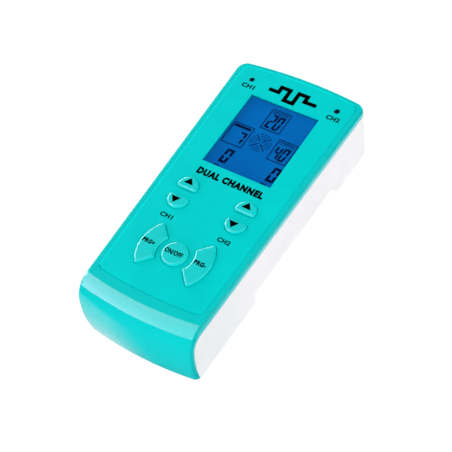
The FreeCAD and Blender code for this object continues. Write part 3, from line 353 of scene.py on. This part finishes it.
def cell_material():
    """Plain grey cell sleeve with a blue band near each end and bare metal ends."""
    material, nodes, links, shader = blank_material("cell_jacket")
    place = nodes.new("ShaderNodeTexCoord")
    axes = nodes.new("ShaderNodeSeparateXYZ")
    links.new(place.outputs["Object"], axes.inputs["Vector"])
    along = nodes.new("ShaderNodeMath")
    along.operation = "ABSOLUTE"
    links.new(axes.outputs["X"], along.inputs[0])
    span = nodes.new("ShaderNodeMapRange")
    socket_set(span, From_Min=0.0, From_Max=CELL_HALF_LENGTH * MM, To_Min=0.0, To_Max=1.0)
    links.new(along.outputs["Value"], span.inputs["Value"])
    links.new(ramp(nodes, links, span.outputs["Result"],
                   [(0.0, SLEEVE_GREY), (0.62, SLEEVE_GREY), (0.64, SLEEVE_BLUE),
                    (0.93, SLEEVE_BLUE), (0.95, CELL_END), (1.0, CELL_END)]),
              shader.inputs["Base Color"])
    fine = noise(nodes, links, 1500.0)
    links.new(spread(nodes, links, fine, 0.22, 0.34), shader.inputs["Roughness"])
    bump(nodes, links, shader, fine, strength=0.15, distance=0.00002)
    socket_set(shader, Metallic=0.35)
    return material


# Each with its darkest and lightest colour, lowest and highest roughness, grain and depth.
MATERIALS = {
    "teal_gloss": moulded("teal_gloss", TEAL_DEEP, TEAL, 0.16, 0.24, 1800.0, 0.000006,
                          coat=1.0, coat_rough=0.04, specular=0.04),
    "panel_gloss": moulded("panel_gloss", TEAL, TEAL_LIGHT, 0.34, 0.44, 3200.0, 0.000008,
                           specular=0.01),
    "case_white": moulded("case_white", (0.88, 0.865, 0.875), (0.92, 0.90, 0.91), 0.32, 0.42, 2600.0,
                          0.00001, specular=0.35),
    "clear_window": window_material(),
    "display_glass": display_material(),
    "light_guide": moulded("light_guide", (0.70, 0.78, 0.84), (0.82, 0.88, 0.92), 0.3, 0.45, 900.0,
                           0.00002),
    "inner_plastic": moulded("inner_plastic", (0.60, 0.60, 0.58), (0.68, 0.68, 0.66), 0.4, 0.55,
                             1400.0, 0.00002),
    "silicone": moulded("silicone", (0.50, 0.53, 0.54), (0.60, 0.62, 0.63), 0.55, 0.7, 1200.0,
                        0.00002),
    "black_plastic": moulded("black_plastic", (0.012, 0.012, 0.013), (0.025, 0.025, 0.027), 0.3,
                             0.45, 2000.0, 0.00002),
    "lens_dark": lamp_material(),
    "board": board_material(),
    "copper": winding_material(),
    "contact_gold": metal("contact_gold", (0.65, 0.42, 0.12), (0.85, 0.58, 0.20), 0.2, 0.35, 1500.0),
    "ferrite": moulded("ferrite", (0.02, 0.02, 0.021), (0.045, 0.043, 0.042), 0.45, 0.65, 1600.0,
                       0.00004),
    "screw_steel": metal("screw_steel", (0.42, 0.42, 0.43), (0.62, 0.62, 0.63), 0.22, 0.38, 1800.0),
    "spring_steel": metal("spring_steel", (0.50, 0.50, 0.50), (0.72, 0.71, 0.68), 0.2, 0.34, 1600.0,
                          (1.0, 0.2, 1.0)),
    "cell_jacket": cell_material(),
    "capacitor_can": metal("capacitor_can", (0.45, 0.46, 0.50), (0.66, 0.67, 0.70), 0.25, 0.4, 900.0,
                           (1.0, 1.0, 0.15)),
    "foam": moulded("foam", (0.03, 0.03, 0.032), (0.09, 0.09, 0.095), 0.85, 0.95, 1500.0, 0.0003),
}
KEY_TEAL = moulded("key_teal", TEAL, TEAL_LIGHT, 0.2, 0.26, 2600.0, 0.000006, coat=0.55,
                   coat_rough=0.12, specular=0.15)
SIDE_TEAL = moulded("side_teal", TEAL_DEEP, TEAL, 0.5, 0.6, 1800.0, 0.000006, coat=0.03,
                    coat_rough=0.2, specular=0.01)
# painted glow: emission that lightens the groove's walls where they would lie in shade
SEAM_PAINTED_GLOW = moulded("seam_painted_glow", TEAL, TEAL_LIGHT, 0.5, 0.6, 2600.0, 0.000006, specular=0.05)
INK_BLACK = moulded("ink_black", (0.001, 0.001, 0.001), (0.003, 0.003, 0.003), 0.5, 0.7, 5000.0,
                    0.00001, specular=0.0)
SEGMENT = moulded("segment_dark", (0.0, 0.001, 0.02), (0.0, 0.002, 0.03), 0.4, 0.5, 5000.0, 0.000005,
                  specular=0.0)
FAINT = moulded("segment_faint", (0.0, 0.008, 0.055), (0.0, 0.014, 0.07), 0.4, 0.5, 5000.0, 0.000005,
                specular=0.0)


def is_key(name):
    """Whether a node is one of the seven keys."""
    return name.startswith("key_") and name != "key_contacts"


def paint_edge_shade_and_highlight():
    """Paints shade on the shell as it turns over its right edge and a painted highlight on its pale
    rim.
    """
    material = MATERIALS["teal_gloss"]
    nodes, links = material.node_tree.nodes, material.node_tree.links
    shader = shader_of(material)
    base = shader.inputs["Base Color"].links[0].from_socket
    place = nodes.new("ShaderNodeTexCoord")
    axes = nodes.new("ShaderNodeSeparateXYZ")
    links.new(place.outputs["Normal"], axes.inputs["Vector"])
    # painted shade deepening towards the right edge, ending in a painted highlight at the rim
    painted_edge_share = nodes.new("ShaderNodeMapRange")
    socket_set(painted_edge_share, From_Min=0.0, From_Max=EDGE_PAINTED_SHADE_FULL, To_Min=0.0, To_Max=1.0)
    links.new(axes.outputs["X"], painted_edge_share.inputs["Value"])
    mix = nodes.new("ShaderNodeMix")
    mix.data_type = "RGBA"
    links.new(painted_edge_share.outputs["Result"], mix.inputs["Factor"])
    colours = [socket for socket in mix.inputs if socket.type == "RGBA"]
    links.new(base, colours[0])
    links.new(ramp(nodes, links, axes.outputs["X"], EDGE_PAINTED_SHADE_COLOURS), colours[1])
    blended = next(socket for socket in mix.outputs if socket.type == "RGBA")
    links.new(blended, shader.inputs["Base Color"])


def worn_side():
    """The left edge of the shell, where hands wear it, is less glossy."""
    obj = NODES["front_shell"]
    obj.data.materials.append(SIDE_TEAL)
    worn_index = len(obj.data.materials) - 1
    for face in obj.data.polygons:
        middle = obj.matrix_world @ face.center
        turned_left = face.normal.x < -WORN_TURN
        if turned_left and middle.x < WORN_X * MM and middle.y > WORN_NOSE_Y * MM:
            face.material_index = worn_index


def paint_seam_glow():
    """Paints a glow on the walls of the groove round the face panel: emission that lightens the
    groove where it would lie in shade.
    """
    # the painted glow of the groove
    socket_set(shader_of(SEAM_PAINTED_GLOW), Emission_Color=(*TEAL_LIGHT, 1.0), Emission_Strength=0.4)
    floor_z = (FACE_Z - PANEL_THICK - GROOVE_PLAY) * MM
    top_z = (FACE_Z + GROOVE_PLAY) * MM
    for name in ("front_shell", "face_panel"):
        obj = NODES[name]
        obj.data.materials.append(SEAM_PAINTED_GLOW)
        painted_glow_index = len(obj.data.materials) - 1
        to_world = obj.matrix_world
        for face in obj.data.polygons:
            corners = [to_world @ obj.data.vertices[k].co for k in face.vertices]
            inside = all(floor_z < corner.z < top_z for corner in corners)
            beside = any(corner.x < GROOVE_LEFT_X * MM
                         or abs(corner.y - GROOVE_MIDDLE_Y * MM) > GROOVE_REACH * MM
                         for corner in corners)
            upright = abs(face.normal.z) < 0.9
            behind = all(corner.y > GROOVE_NOSE_Y * MM for corner in corners)
            if inside and beside and upright and behind:
                face.material_index = painted_glow_index


def dress_nodes():
    """Gives every carried-over CAD node its material."""
    slots = {part["node"]: part["material_slot"] for part in frame["record"]["subparts"]}
    for name, obj in NODES.items():
        material = KEY_TEAL if is_key(name) else MATERIALS[slots[name]]
        obj.data.materials.clear()
        obj.data.materials.append(material)
    paint_seam_glow()
    worn_side()
    paint_edge_shade_and_highlight()


# ---------------------------------------------------------------- pieces
def add_piece(name, mesh, material, body):
    """Puts a finished mesh in the scene and rides it on a body."""
    obj = bpy.data.objects.new(name, mesh)
    bpy.context.scene.collection.objects.link(obj)
    mesh.materials.clear()
    mesh.materials.append(material)
    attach(obj, body)
    return obj


def plates(name, outlines, z_low, thickness, material, body):
    """Thin flat plates with the given outlines, mm, as one closed mesh."""
    build = bmesh.new()
    for outline in outlines:
        top = [build.verts.new((x * MM, y * MM, (z_low + thickness) * MM)) for x, y in outline]
        low = [build.verts.new((x * MM, y * MM, z_low * MM)) for x, y in outline]
        build.faces.new(top)
        build.faces.new(low[::-1])
        count = len(outline)
        for k in range(count):
            build.faces.new((top[k], low[k], low[(k + 1) % count], top[(k + 1) % count]))
    bmesh.ops.recalc_face_normals(build, faces=build.faces)
    mesh = bpy.data.meshes.new(name)
    build.to_mesh(mesh)
    build.free()
    return add_piece(name, mesh, material, body)


def lettering(name, words, x, y, z, width, height, body, bold):
    """Printed generic words, centred on x, y and fitted to width and cap height, mm."""
    curve = bpy.data.curves.new(name + "_curve", "FONT")
    curve.body = words
    curve.offset = bold
    curve.space_character = 1.0 + 2.6 * bold   # bolder letters stand wider apart
    curve.extrude = 0.5      # any thickness, as it is fitted to INK below
    curve.resolution_u = 5   # the bold weights stay closed meshes at this many steps
    holder = bpy.data.objects.new(name + "_holder", curve)
    mesh = bpy.data.meshes.new_from_object(holder)
    mesh.name = name
    bpy.data.objects.remove(holder)
    bpy.data.curves.remove(curve)
    build = bmesh.new()
    build.from_mesh(mesh)
    bmesh.ops.remove_doubles(build, verts=build.verts, dist=LETTER_WELD)
    loose = [vertex for vertex in build.verts if not vertex.link_faces]
    bmesh.ops.delete(build, geom=loose, context="VERTS")
    build.to_mesh(mesh)
    build.free()
    sizes = (width, height, INK)
    middle = (x, y, z + INK / 2)
    for k in range(3):
        places = [vertex.co[k] for vertex in mesh.vertices]
        low, high = min(places), max(places)
        for vertex in mesh.vertices:
            share = (vertex.co[k] - low) / (high - low) - 0.5
            vertex.co[k] = (middle[k] + share * sizes[k]) * MM
    return add_piece(name, mesh, INK_BLACK, body)


def bar(x1, y1, x2, y2, width):
    """Outline of a straight stroke."""
    length = math.hypot(x2 - x1, y2 - y1)
    sx = -(y2 - y1) / length * width / 2
    sy = (x2 - x1) / length * width / 2
    return [(x1 + sx, y1 + sy), (x1 - sx, y1 - sy), (x2 - sx, y2 - sy), (x2 + sx, y2 + sy)]


def digit(symbol, x, y, width, height, stroke):
    """Seven-segment digit with mitred corners, its lower left corner at x, y."""
    half = stroke / 2
    gap = stroke * 0.06      # between neighbouring segments
    middle = height / 2
    bar_top = [(gap, 0.0), (width - gap, 0.0),
               (width - gap - stroke, -stroke), (gap + stroke, -stroke)]
    upright = [(0.0, -gap), (stroke, -gap - stroke),
               (stroke, gap + half - middle), (0.0, gap - middle)]
    waist = [(gap + half, 0.0), (gap + stroke, half), (width - gap - stroke, half),
             (width - gap - half, 0.0), (width - gap - stroke, -half), (gap + stroke, -half)]
    shapes = {
        "a": [(px, height + py) for px, py in bar_top],
        "b": [(width - px, height + py) for px, py in upright],
        "c": [(width - px, -py) for px, py in upright],
        "d": [(px, -py) for px, py in bar_top],
        "e": [(px, -py) for px, py in upright],
        "f": [(px, height + py) for px, py in upright],
        "g": [(px, middle + py) for px, py in waist],
    }
    return [[(x + px + py * DIGIT_LEAN, y + py) for px, py in shapes[name]]
            for name in SEGMENTS[symbol]]


def frame_lines(left, right, low, high, line):
    """Four strokes of a box."""
    return [
        bar(left, low, right, low, line),
        bar(left, high, right, high, line),
        bar(left, low, left, high, line),
        bar(right, low, right, high, line),
    ]


def box_heading(left, right, high):
    """A row of dashes along the top of a box, for its small heading, and a rule under it."""
    rule_y = high - HEADING_RULE_DROP
    strokes = [bar(left + BOX_LINE, rule_y, right - BOX_LINE, rule_y, HEADING_RULE)]
    dash_y = high - HEADING_RULE_DROP / 2
    step = (right - left - 2 * HEADING_MARGIN) / HEADING_DASHES
    for k in range(HEADING_DASHES):
        x = left + HEADING_MARGIN + k * step
        strokes.append(bar(x, dash_y, x + step * HEADING_DASH_SHARE, dash_y, HEADING_DASH))
    return strokes


def polar_bar(r1, degrees1, r2, degrees2, width):
    """Outline of a straight stroke between two places round the wheel's middle."""
    x, y = WHEEL_PLACE
    a1, a2 = math.radians(degrees1), math.radians(degrees2)
    return bar(x + math.cos(a1) * r1, y + math.sin(a1) * r1,
               x + math.cos(a2) * r2, y + math.sin(a2) * r2, width)


def wheel():
    """Crossed bars with four fans of short strokes between them."""
    strokes = []
    for k in range(4):
        cross = 45 + 90 * k
        strokes.append(polar_bar(WHEEL_HUB_R, cross, WHEEL_RIM_R, cross, WHEEL_CROSS_LINE))
        fan_start = 90 * k - WHEEL_FAN_DEGREES / 2
        for radius in WHEEL_FAN_RADII:
            for step in range(WHEEL_FAN_STEPS):
                start = fan_start + WHEEL_FAN_DEGREES * step / WHEEL_FAN_STEPS
                end = fan_start + WHEEL_FAN_DEGREES * (step + WHEEL_FAN_SHARE) / WHEEL_FAN_STEPS
                strokes.append(polar_bar(radius, start, radius, end, WHEEL_FAN_LINE))
    return strokes


def display_picture():
    """Digits, boxes and the wheel of the display, just over the glass."""
    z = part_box("lcd_glass")[1][2] / MM + GLASS_INK_GAP
    dark = []
    for entry in DIGITS:
        dark += digit(*entry)
    dark.append(bar(*HEADER_BAR))
    for x in UNIT_MARKS_X:
        for k in range(3):
            left = x + k * UNIT_MARK_PITCH
            dark.append(bar(left, UNIT_MARKS_Y, left + UNIT_MARK_WIDTH, UNIT_MARKS_Y,
                            UNIT_MARK_HEIGHT))
    plates("display_digits", dark, z, INK, SEGMENT, "case")
    faint = []
    for left, right, low, high in BOXES:
        faint += frame_lines(left, right, low, high, BOX_LINE)
        faint += box_heading(left, right, high)
    faint += wheel()
    plates("display_outlines", faint, z, INK * FAINT_INK, FAINT, "case")


def printed_marks():
    """Ink on the panel and on the keys."""
    for entry in LABELS:
        lettering(*entry)
    for side, channel in ((-1, "ch1"), (1, "ch2")):
        for way, arrow in (("up", ARROW_UP), ("down", ARROW_DOWN)):
            outline = [(side * CHANNEL_X + x, y) for x, y in arrow]
            plates("arrow_" + channel + "_" + way, [outline], KEY_TOP_Z, INK, INK_BLACK,
                   "key_" + channel + "_" + way)
    pulse_mark()


def pulse_mark():
    """A plain pulse wave above the display, each stroke running half its width past its ends."""
    reach = PULSE_STROKE / 2
    strokes = []
    for (x1, y1), (x2, y2) in zip(PULSE_PATH, PULSE_PATH[1:]):
        length = math.hypot(x2 - x1, y2 - y1)
        ux, uy = (x2 - x1) / length * reach, (y2 - y1) / length * reach
        strokes.append(bar(x1 - ux, y1 - uy, x2 + ux, y2 + uy, PULSE_STROKE))
    plates("pulse_mark", strokes, FACE_Z, INK, INK_BLACK, "case")


def lumps(name):
    """Lowest and highest corners, mm, of each separate solid in a CAD node."""
    build = bmesh.new()
    build.from_mesh(NODES[name].data)
    bmesh.ops.remove_doubles(build, verts=build.verts, dist=WELD * MM)
    seen = set()
    spans = []
    for start in build.verts:
        if start in seen:
            continue
        waiting = [start]
        found = []
        while waiting:
            vertex = waiting.pop()
            if vertex not in seen:
                seen.add(vertex)
                found.append(vertex.co / MM)
                waiting += [edge.other_vert(vertex) for edge in vertex.link_edges]
        spans.append([[pick(co[k] for co in found) for k in range(3)] for pick in (min, max)])
    build.free()
    return sorted(spans)


def rounded(u_low, u_high, v_low, v_high, corner_r):
    """Outline of a rectangle with round corners."""
    outline = []
    for number in range(4):
        centre_u = u_high - corner_r if number in (0, 3) else u_low + corner_r
        centre_v = v_high - corner_r if number in (0, 1) else v_low + corner_r
        for turned in range(0, 91, 15):
            angle = math.radians(90 * number + turned)
            outline.append((centre_u + corner_r * math.cos(angle),
                            centre_v + corner_r * math.sin(angle)))
    return outline


def slabs(name, entries, edge_r, slot, replaced, material=None, upright=False):
    """One piece of plates with round edges, each an (outline, low, high), for a CAD node.

    Outlines lie in X and Y, or in Y and Z when the plates are upright.
    """
    build = bmesh.new()
    for outline, low, high in entries:
        rings = []
        for level in (low, high):
            points = [(level, u, v) if upright else (u, v, level) for u, v in outline]
            rings.append([build.verts.new([value * MM for value in point]) for point in points])
        build.faces.new(rings[0][::-1])
        build.faces.new(rings[1])
        for k in range(len(outline)):
            after = (k + 1) % len(outline)
            build.faces.new((rings[0][k], rings[0][after], rings[1][after], rings[1][k]))
    bmesh.ops.recalc_face_normals(build, faces=build.faces)
    sharp = [edge for edge in build.edges if edge.calc_face_angle() > math.radians(60)]
    bmesh.ops.bevel(build, geom=sharp, offset=edge_r * MM, segments=2, profile=0.5, affect="EDGES",
                    clamp_overlap=True)
    mesh = bpy.data.meshes.new(name)
    build.to_mesh(mesh)
    build.free()
    piece = add_piece(name, mesh, material or MATERIALS[slot], "case")
    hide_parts(replaced)


def plate_of(lump, corner_r):
    """The (outline, low, high) of a plate that fills one solid's box."""
    (x0, y0, z0), (x1, y1, z1) = lump
    return rounded(x0, x1, y0, y1, corner_r), z0, z1


def display_parts():
    """The window, the display's two glasses and film, its rubber strips and its light guide."""
    window = plate_of(lumps("display_window")[0], corner_r=1.5)
    slabs("window_pane", [window], 0.12, "clear_window", "display_window")
    (x0, y0, z0), (x1, y1, z1) = lumps("lcd_glass")[0]
    film = 0.1               # thickness of the film
    ledge = 0.25             # the lower glass stands out from the upper one by this much
    seam = (z0 + z1) / 2
    for name, inset, low, high in (("display_lower_glass", 0.0, z0, seam),
                                   ("display_upper_glass", ledge, seam, z1 - film),
                                   ("display_film", ledge + film, z1 - film, z1)):
        outline = rounded(x0 + inset / 2, x1 - inset / 2, y0 + inset, y1 - inset, 0.2)
        slabs(name, [(outline, low, high)], film / 4, "display_glass", "lcd_glass")
    strips = [plate_of(lump, corner_r=0.2) for lump in lumps("lcd_connector_strips")]
    slabs("striped_rubber", strips, 0.15, "black_plastic", "lcd_connector_strips",
          striped_material())
    guide = plate_of(lumps("lcd_backlight")[0], corner_r=1.0)
    slabs("light_guide_plate", [guide], 0.25, "light_guide", "lcd_backlight")


def transistors():
    """Flat transistor bodies with three legs on one side and a tab on the other."""
    sunk = 0.15              # the bodies end this far short of the board
    leg_room, tab_room = 0.8, 0.6
    leg_half, leg_reach, leg_thick, leg_pitch = 0.35, 1.0, 0.4, 1.5
    tab_half, tab_reach = 1.6, 0.8
    bodies, legs = [], []
    for (x0, y0, z0), (x1, y1, z1) in lumps("output_transistors"):
        middle = (x0 + x1) / 2
        bodies.append((rounded(x0, x1, y0 + leg_room, y1 - tab_room, 0.15), z0, z1 - sunk))
        for place in (-leg_pitch, 0.0, leg_pitch):
            legs.append((rounded(middle + place - leg_half, middle + place + leg_half,
                                 y0, y0 + leg_reach, 0.1), z1 - leg_thick, z1))
        legs.append((rounded(middle - tab_half, middle + tab_half, y1 - tab_reach, y1, 0.2),
                     z1 - leg_thick, z1))
    slabs("transistor_bodies", bodies, 0.18, "black_plastic", "output_transistors")
    slabs("transistor_legs", legs, 0.06, "spring_steel", "output_transistors")


def lamps():
    """Small lamps: a base, a clear dome and a soldering face at each end."""
    base_thick, end_thick = 0.5, 0.52
    end_reach = 0.4
    base_inset = 0.3         # the base runs on under the soldering faces
    dome_inset = 0.1
    dome_sunk = 0.05         # the dome reaches this far into the base
    bases, domes, ends = [], [], []
    for (x0, y0, z0), (x1, y1, z1) in lumps("indicator_leds"):
        bases.append((rounded(x0 + base_inset, x1 - base_inset, y0, y1, 0.1), z0, z0 + base_thick))
        domes.append((rounded(x0 + end_reach, x1 - end_reach, y0 + dome_inset, y1 - dome_inset, 0.4),
                      z0 + base_thick - dome_sunk, z1))
        for low, high in ((x0, x0 + end_reach), (x1 - end_reach, x1)):
            ends.append((rounded(low, high, y0, y1, 0.1), z0, z0 + end_thick))
    slabs("lamp_bases", bases, 0.05, "inner_plastic", "indicator_leds")
    slabs("lamp_domes", domes, 0.3, "light_guide", "indicator_leds")
    slabs("lamp_ends", ends, 0.05, "contact_gold", "indicator_leds")


def contact_plates():
    """Upright battery contacts with round corners."""
    plates_yz = [(rounded(y0, y1, z0, z1, 1.0), x0, x1)
                 for (x0, y0, z0), (x1, y1, z1) in lumps("battery_contact_plates")]
    slabs("contact_plates", plates_yz, 0.08, "spring_steel", "battery_contact_plates",
          upright=True)


def corners_of(item):
    """Sorted places of the points of a mesh's point, edge or face."""
    points = [item] if isinstance(item, bmesh.types.BMVert) else item.verts
    return sorted(tuple(point.co) for point in points)


def settle(build):
    """Puts a mesh's points, edges and faces in an order that is the same in each run."""
    for items in (build.verts, build.edges, build.faces):
        ranks = {item: rank for rank, item in enumerate(sorted(items, key=corners_of))}
        items.sort(key=ranks.get)


def keypad():
    """Silicone mat: a sheet on the board and, under each key, a block."""
    (x_low, y_low, z_low), (x_high, y_high, z_high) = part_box("keypad_mat")
    outline = rounded(x_low / MM, x_high / MM, y_low / MM, y_high / MM, MAT_CORNER_R)
    silicone = MATERIALS["silicone"]
    sheet_low = z_low / MM + MAT_START
    sheet_top = z_low / MM + MAT_SHEET_TOP
    sheet = plates("mat_sheet", [outline], sheet_low, sheet_top - sheet_low, silicone,
                   "case")
    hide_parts("keypad_mat")
    foot_z = (sheet_top + MAT_BLOCK_GAP) * MM
    for name in [node for node in NODES if is_key(node)]:
        low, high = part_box(name)
        build = bmesh.new()
        build.from_mesh(NODES["keypad_mat"].data)
        others = []
        for face in build.faces:
            middle = face.calc_center_median()
            level = face.normal.z > 0.99
            on_top = level and abs(middle.z - z_high) < MAT_TOP_PLAY * MM
            under_key = low[0] < middle.x < high[0] and low[1] < middle.y < high[1]
            if not (on_top and under_key):
                others.append(face)
        bmesh.ops.delete(build, geom=others, context="FACES")
        whole = build.verts[:] + build.edges[:] + build.faces[:]
        grown = bmesh.ops.extrude_face_region(build, geom=whole, use_keep_orig=True)["geom"]
        for part in grown:
            if isinstance(part, bmesh.types.BMVert):
                part.co.z = foot_z
        bmesh.ops.recalc_face_normals(build, faces=build.faces)
        settle(build)
        piece_name = name.replace("key_", "mat_block_")
        mesh = bpy.data.meshes.new(piece_name)
        build.to_mesh(mesh)
        build.free()
        block = add_piece(piece_name, mesh, silicone, "case")
        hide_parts("keypad_mat")
        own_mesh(block)


# ---------------------------------------------------------------- stage
CAMERA_ANGLES = (44.06, 53.61, 14.15)             # azimuth, elevation and roll, degrees
CAMERA_PLACE = (0.22424, -0.23305, 0.44512)       # metres
CAMERA_LENS = 98.8                                # mm, on a sensor 36 mm wide


def camera():
    """The camera at the photograph's viewing angle."""
    azimuth, elevation, roll = [math.radians(angle) for angle in CAMERA_ANGLES]
    back = Vector((math.sin(azimuth) * math.cos(elevation),
                   -math.cos(azimuth) * math.cos(elevation), math.sin(elevation)))
    level = Vector((math.cos(azimuth), math.sin(azimuth), 0.0))
    above = back.cross(level)
    right = level * math.cos(roll) - above * math.sin(roll)
    up = level * math.sin(roll) + above * math.cos(roll)
    place = Matrix((right, up, back)).transposed().to_4x4()
    place.translation = Vector(CAMERA_PLACE)
    data = bpy.data.cameras.new("view_camera")
    data.lens = CAMERA_LENS
    data.sensor_width = 36.0
    data.clip_start = 0.01
    eye = bpy.data.objects.new("view_camera", data)
    eye.matrix_world = place
    bpy.context.scene.collection.objects.link(eye)
    bpy.context.scene.camera = eye


# Everything about the studio is in metres.
MIDDLE = (0.0, 0.0, 0.02)   # about the middle of the unit
FLOOR_REACH = 3.0
FLOOR_Z = -0.0002
SKY_LIGHT = 0.45         # how strongly the surroundings light a surface
SKY_MIRRORED = 0.05      # and how strongly they are mirrored in it
# Painted reflection: the floor, as it is mirrored, glows teal-dark at the front right and pale
# beyond, a glow seen only in reflections. One turns to the other between these two values of y - x.
MIRROR_GLOW_DARK = (0.07, 0.39, 0.42)
MIRROR_GLOW_PALE = (0.8, 0.85, 0.9)
MIRROR_GLOW_START, MIRROR_GLOW_END = -0.082, -0.052


def softbox(name, place, aim, width, height, radiance, mirrored, colour=(1, 1, 1)):
    """Rectangular soft light: a card that is only seen mirrored, or a box that only lights."""
    data = bpy.data.lights.new(name, "AREA")
    data.shape = "RECTANGLE"
    data.color = colour
    data.size = width
    data.size_y = height
    data.energy = radiance * math.pi * width * height
    lamp = bpy.data.objects.new(name, data)
    lamp.location = place
    lamp.rotation_euler = (Vector(aim) - Vector(place)).to_track_quat("-Z", "Y").to_euler()
    lamp.visible_diffuse = not mirrored
    lamp.visible_glossy = mirrored
    lamp.visible_transmission = not mirrored
    bpy.context.scene.collection.objects.link(lamp)
    return lamp


def shade_card(lamp, x_left, x_right, left, right):
    """Lets a card's light change from one colour to another between two places along X."""
    lamp.data.use_nodes = True
    nodes, links = lamp.data.node_tree.nodes, lamp.data.node_tree.links
    glow = next(n for n in nodes if n.type == "EMISSION")
    here = nodes.new("ShaderNodeNewGeometry")
    apart = nodes.new("ShaderNodeSeparateXYZ")
    links.new(here.outputs["Position"], apart.inputs["Vector"])
    along = nodes.new("ShaderNodeMapRange")
    socket_set(along, From_Min=x_left, From_Max=x_right, To_Min=0.0, To_Max=1.0)
    links.new(apart.outputs["X"], along.inputs["Value"])
    links.new(ramp(nodes, links, along.outputs["Result"], [(0.0, left), (1.0, right)]),
              glow.inputs["Color"])


def floor_material():
    """Pale floor: white to the camera; in reflections a painted glow, teal-dark at the front right
    and pale beyond.
    """
    material, nodes, links, shader = blank_material("floor_white")
    tint(nodes, links, noise(nodes, links, 3.0), shader, (0.78, 0.78, 0.79), (0.80, 0.80, 0.81))
    socket_set(shader, Roughness=0.9, Specular_IOR_Level=0.1)
    output = next(n for n in nodes if n.type == "OUTPUT_MATERIAL")
    path = nodes.new("ShaderNodeLightPath")
    glow = nodes.new("ShaderNodeEmission")
    glow.inputs["Strength"].default_value = 1.05
    choose = nodes.new("ShaderNodeMixShader")
    links.new(path.outputs["Is Camera Ray"], choose.inputs["Fac"])
    links.new(shader.outputs["BSDF"], choose.inputs[1])
    links.new(glow.outputs["Emission"], choose.inputs[2])
    # painted reflection: a glow that only glossy rays see
    mirror_glow = nodes.new("ShaderNodeEmission")
    mirror_glow.inputs["Strength"].default_value = 1.0
    place = nodes.new("ShaderNodeTexCoord")
    across = nodes.new("ShaderNodeVectorMath")
    across.operation = "DOT_PRODUCT"
    across.inputs[1].default_value = (-1.0, 1.0, 0.0)
    links.new(place.outputs["Object"], across.inputs[0])
    glow_share = nodes.new("ShaderNodeMapRange")
    glow_share.interpolation_type = "SMOOTHSTEP"
    socket_set(glow_share, From_Min=MIRROR_GLOW_START, From_Max=MIRROR_GLOW_END, To_Min=0.0, To_Max=1.0)
    links.new(across.outputs["Value"], glow_share.inputs["Value"])
    links.new(ramp(nodes, links, glow_share.outputs["Result"], [(0.0, MIRROR_GLOW_DARK), (1.0, MIRROR_GLOW_PALE)]),
              mirror_glow.inputs["Color"])
    mirrored = nodes.new("ShaderNodeMixShader")
    links.new(path.outputs["Is Glossy Ray"], mirrored.inputs["Fac"])
    links.new(choose.outputs["Shader"], mirrored.inputs[1])
    links.new(mirror_glow.outputs["Emission"], mirrored.inputs[2])
    links.new(mirrored.outputs["Shader"], output.inputs["Surface"])
    return material


def lay_floor():
    """The floor, just under the unit's own base level."""
    build = bmesh.new()
    signs = ((-1, -1), (1, -1), (1, 1), (-1, 1))
    build.faces.new([build.verts.new((x * FLOOR_REACH, y * FLOOR_REACH, FLOOR_Z)) for x, y in signs])
    mesh = bpy.data.meshes.new("floor")
    build.to_mesh(mesh)
    build.free()
    floor = bpy.data.objects.new("floor", mesh)
    bpy.context.scene.collection.objects.link(floor)
    mesh.materials.append(floor_material())


def surroundings():
    """White to the camera, soft grey to the surfaces and nearly dark in reflections."""
    world = bpy.data.worlds.new("surroundings")
    world.use_nodes = True
    nodes, links = world.node_tree.nodes, world.node_tree.links
    sky = next(n for n in nodes if n.type == "BACKGROUND")
    sky.inputs["Color"].default_value = (1.0, 1.0, 1.0, 1.0)
    path = nodes.new("ShaderNodeLightPath")
    strength = nodes.new("ShaderNodeMapRange")
    socket_set(strength, From_Min=0.0, From_Max=1.0, To_Min=SKY_LIGHT, To_Max=SKY_MIRRORED)
    links.new(path.outputs["Is Glossy Ray"], strength.inputs["Value"])
    bright = nodes.new("ShaderNodeMath")
    bright.operation = "MAXIMUM"
    links.new(strength.outputs["Result"], bright.inputs[0])
    links.new(path.outputs["Is Camera Ray"], bright.inputs[1])
    links.new(bright.outputs["Value"], sky.inputs["Strength"])
    bpy.context.scene.world = world


def studio():
    """Pale floor, white surroundings and soft lights.

    Each light has its place, aim, width, height and radiance.
    """
    lay_floor()
    surroundings()
    nose_card = softbox("nose_card", (-0.95, -0.565, 1.0), (-0.95, -0.565, 0.0), 1.7, 1.67, 6.0,
                        mirrored=True)
    shade_card(nose_card, -0.95, -0.35, (1.0, 0.6, 0.85), (0.42, 0.36, 0.42))
    softbox("front_box", (-0.3, -1.6, 0.32), MIDDLE, 1.4, 0.6, 5.1, mirrored=False,
            colour=(0.92, 0.98, 1.04))
    softbox("key_box", (-1.5, 0.45, 0.45), MIDDLE, 1.0, 0.8, 3.6, mirrored=False)
    softbox("key_card", (-1.008, 0.47, 0.45), MIDDLE, 1.0, 0.86, 8.5, mirrored=True)
    softbox("right_card", (1.3, 0.2, 0.6), MIDDLE, 1.2, 0.7, 1.5, mirrored=True)
    softbox("top_box", (0.6, -0.2, 1.6), MIDDLE, 1.6, 1.6, 1.48, mirrored=False)
    softbox("side_box", (1.5, 0.1, 0.5), MIDDLE, 1.2, 0.8, 2.8, mirrored=False)


def main():
    """Dresses the CAD nodes, adds the finer pieces and sets the stage."""
    bpy.context.scene.view_settings.view_transform = "Standard"
    dress_nodes()
    display_picture()
    printed_marks()
    display_parts()
    transistors()
    lamps()
    contact_plates()
    keypad()
    camera()
    studio()


main()
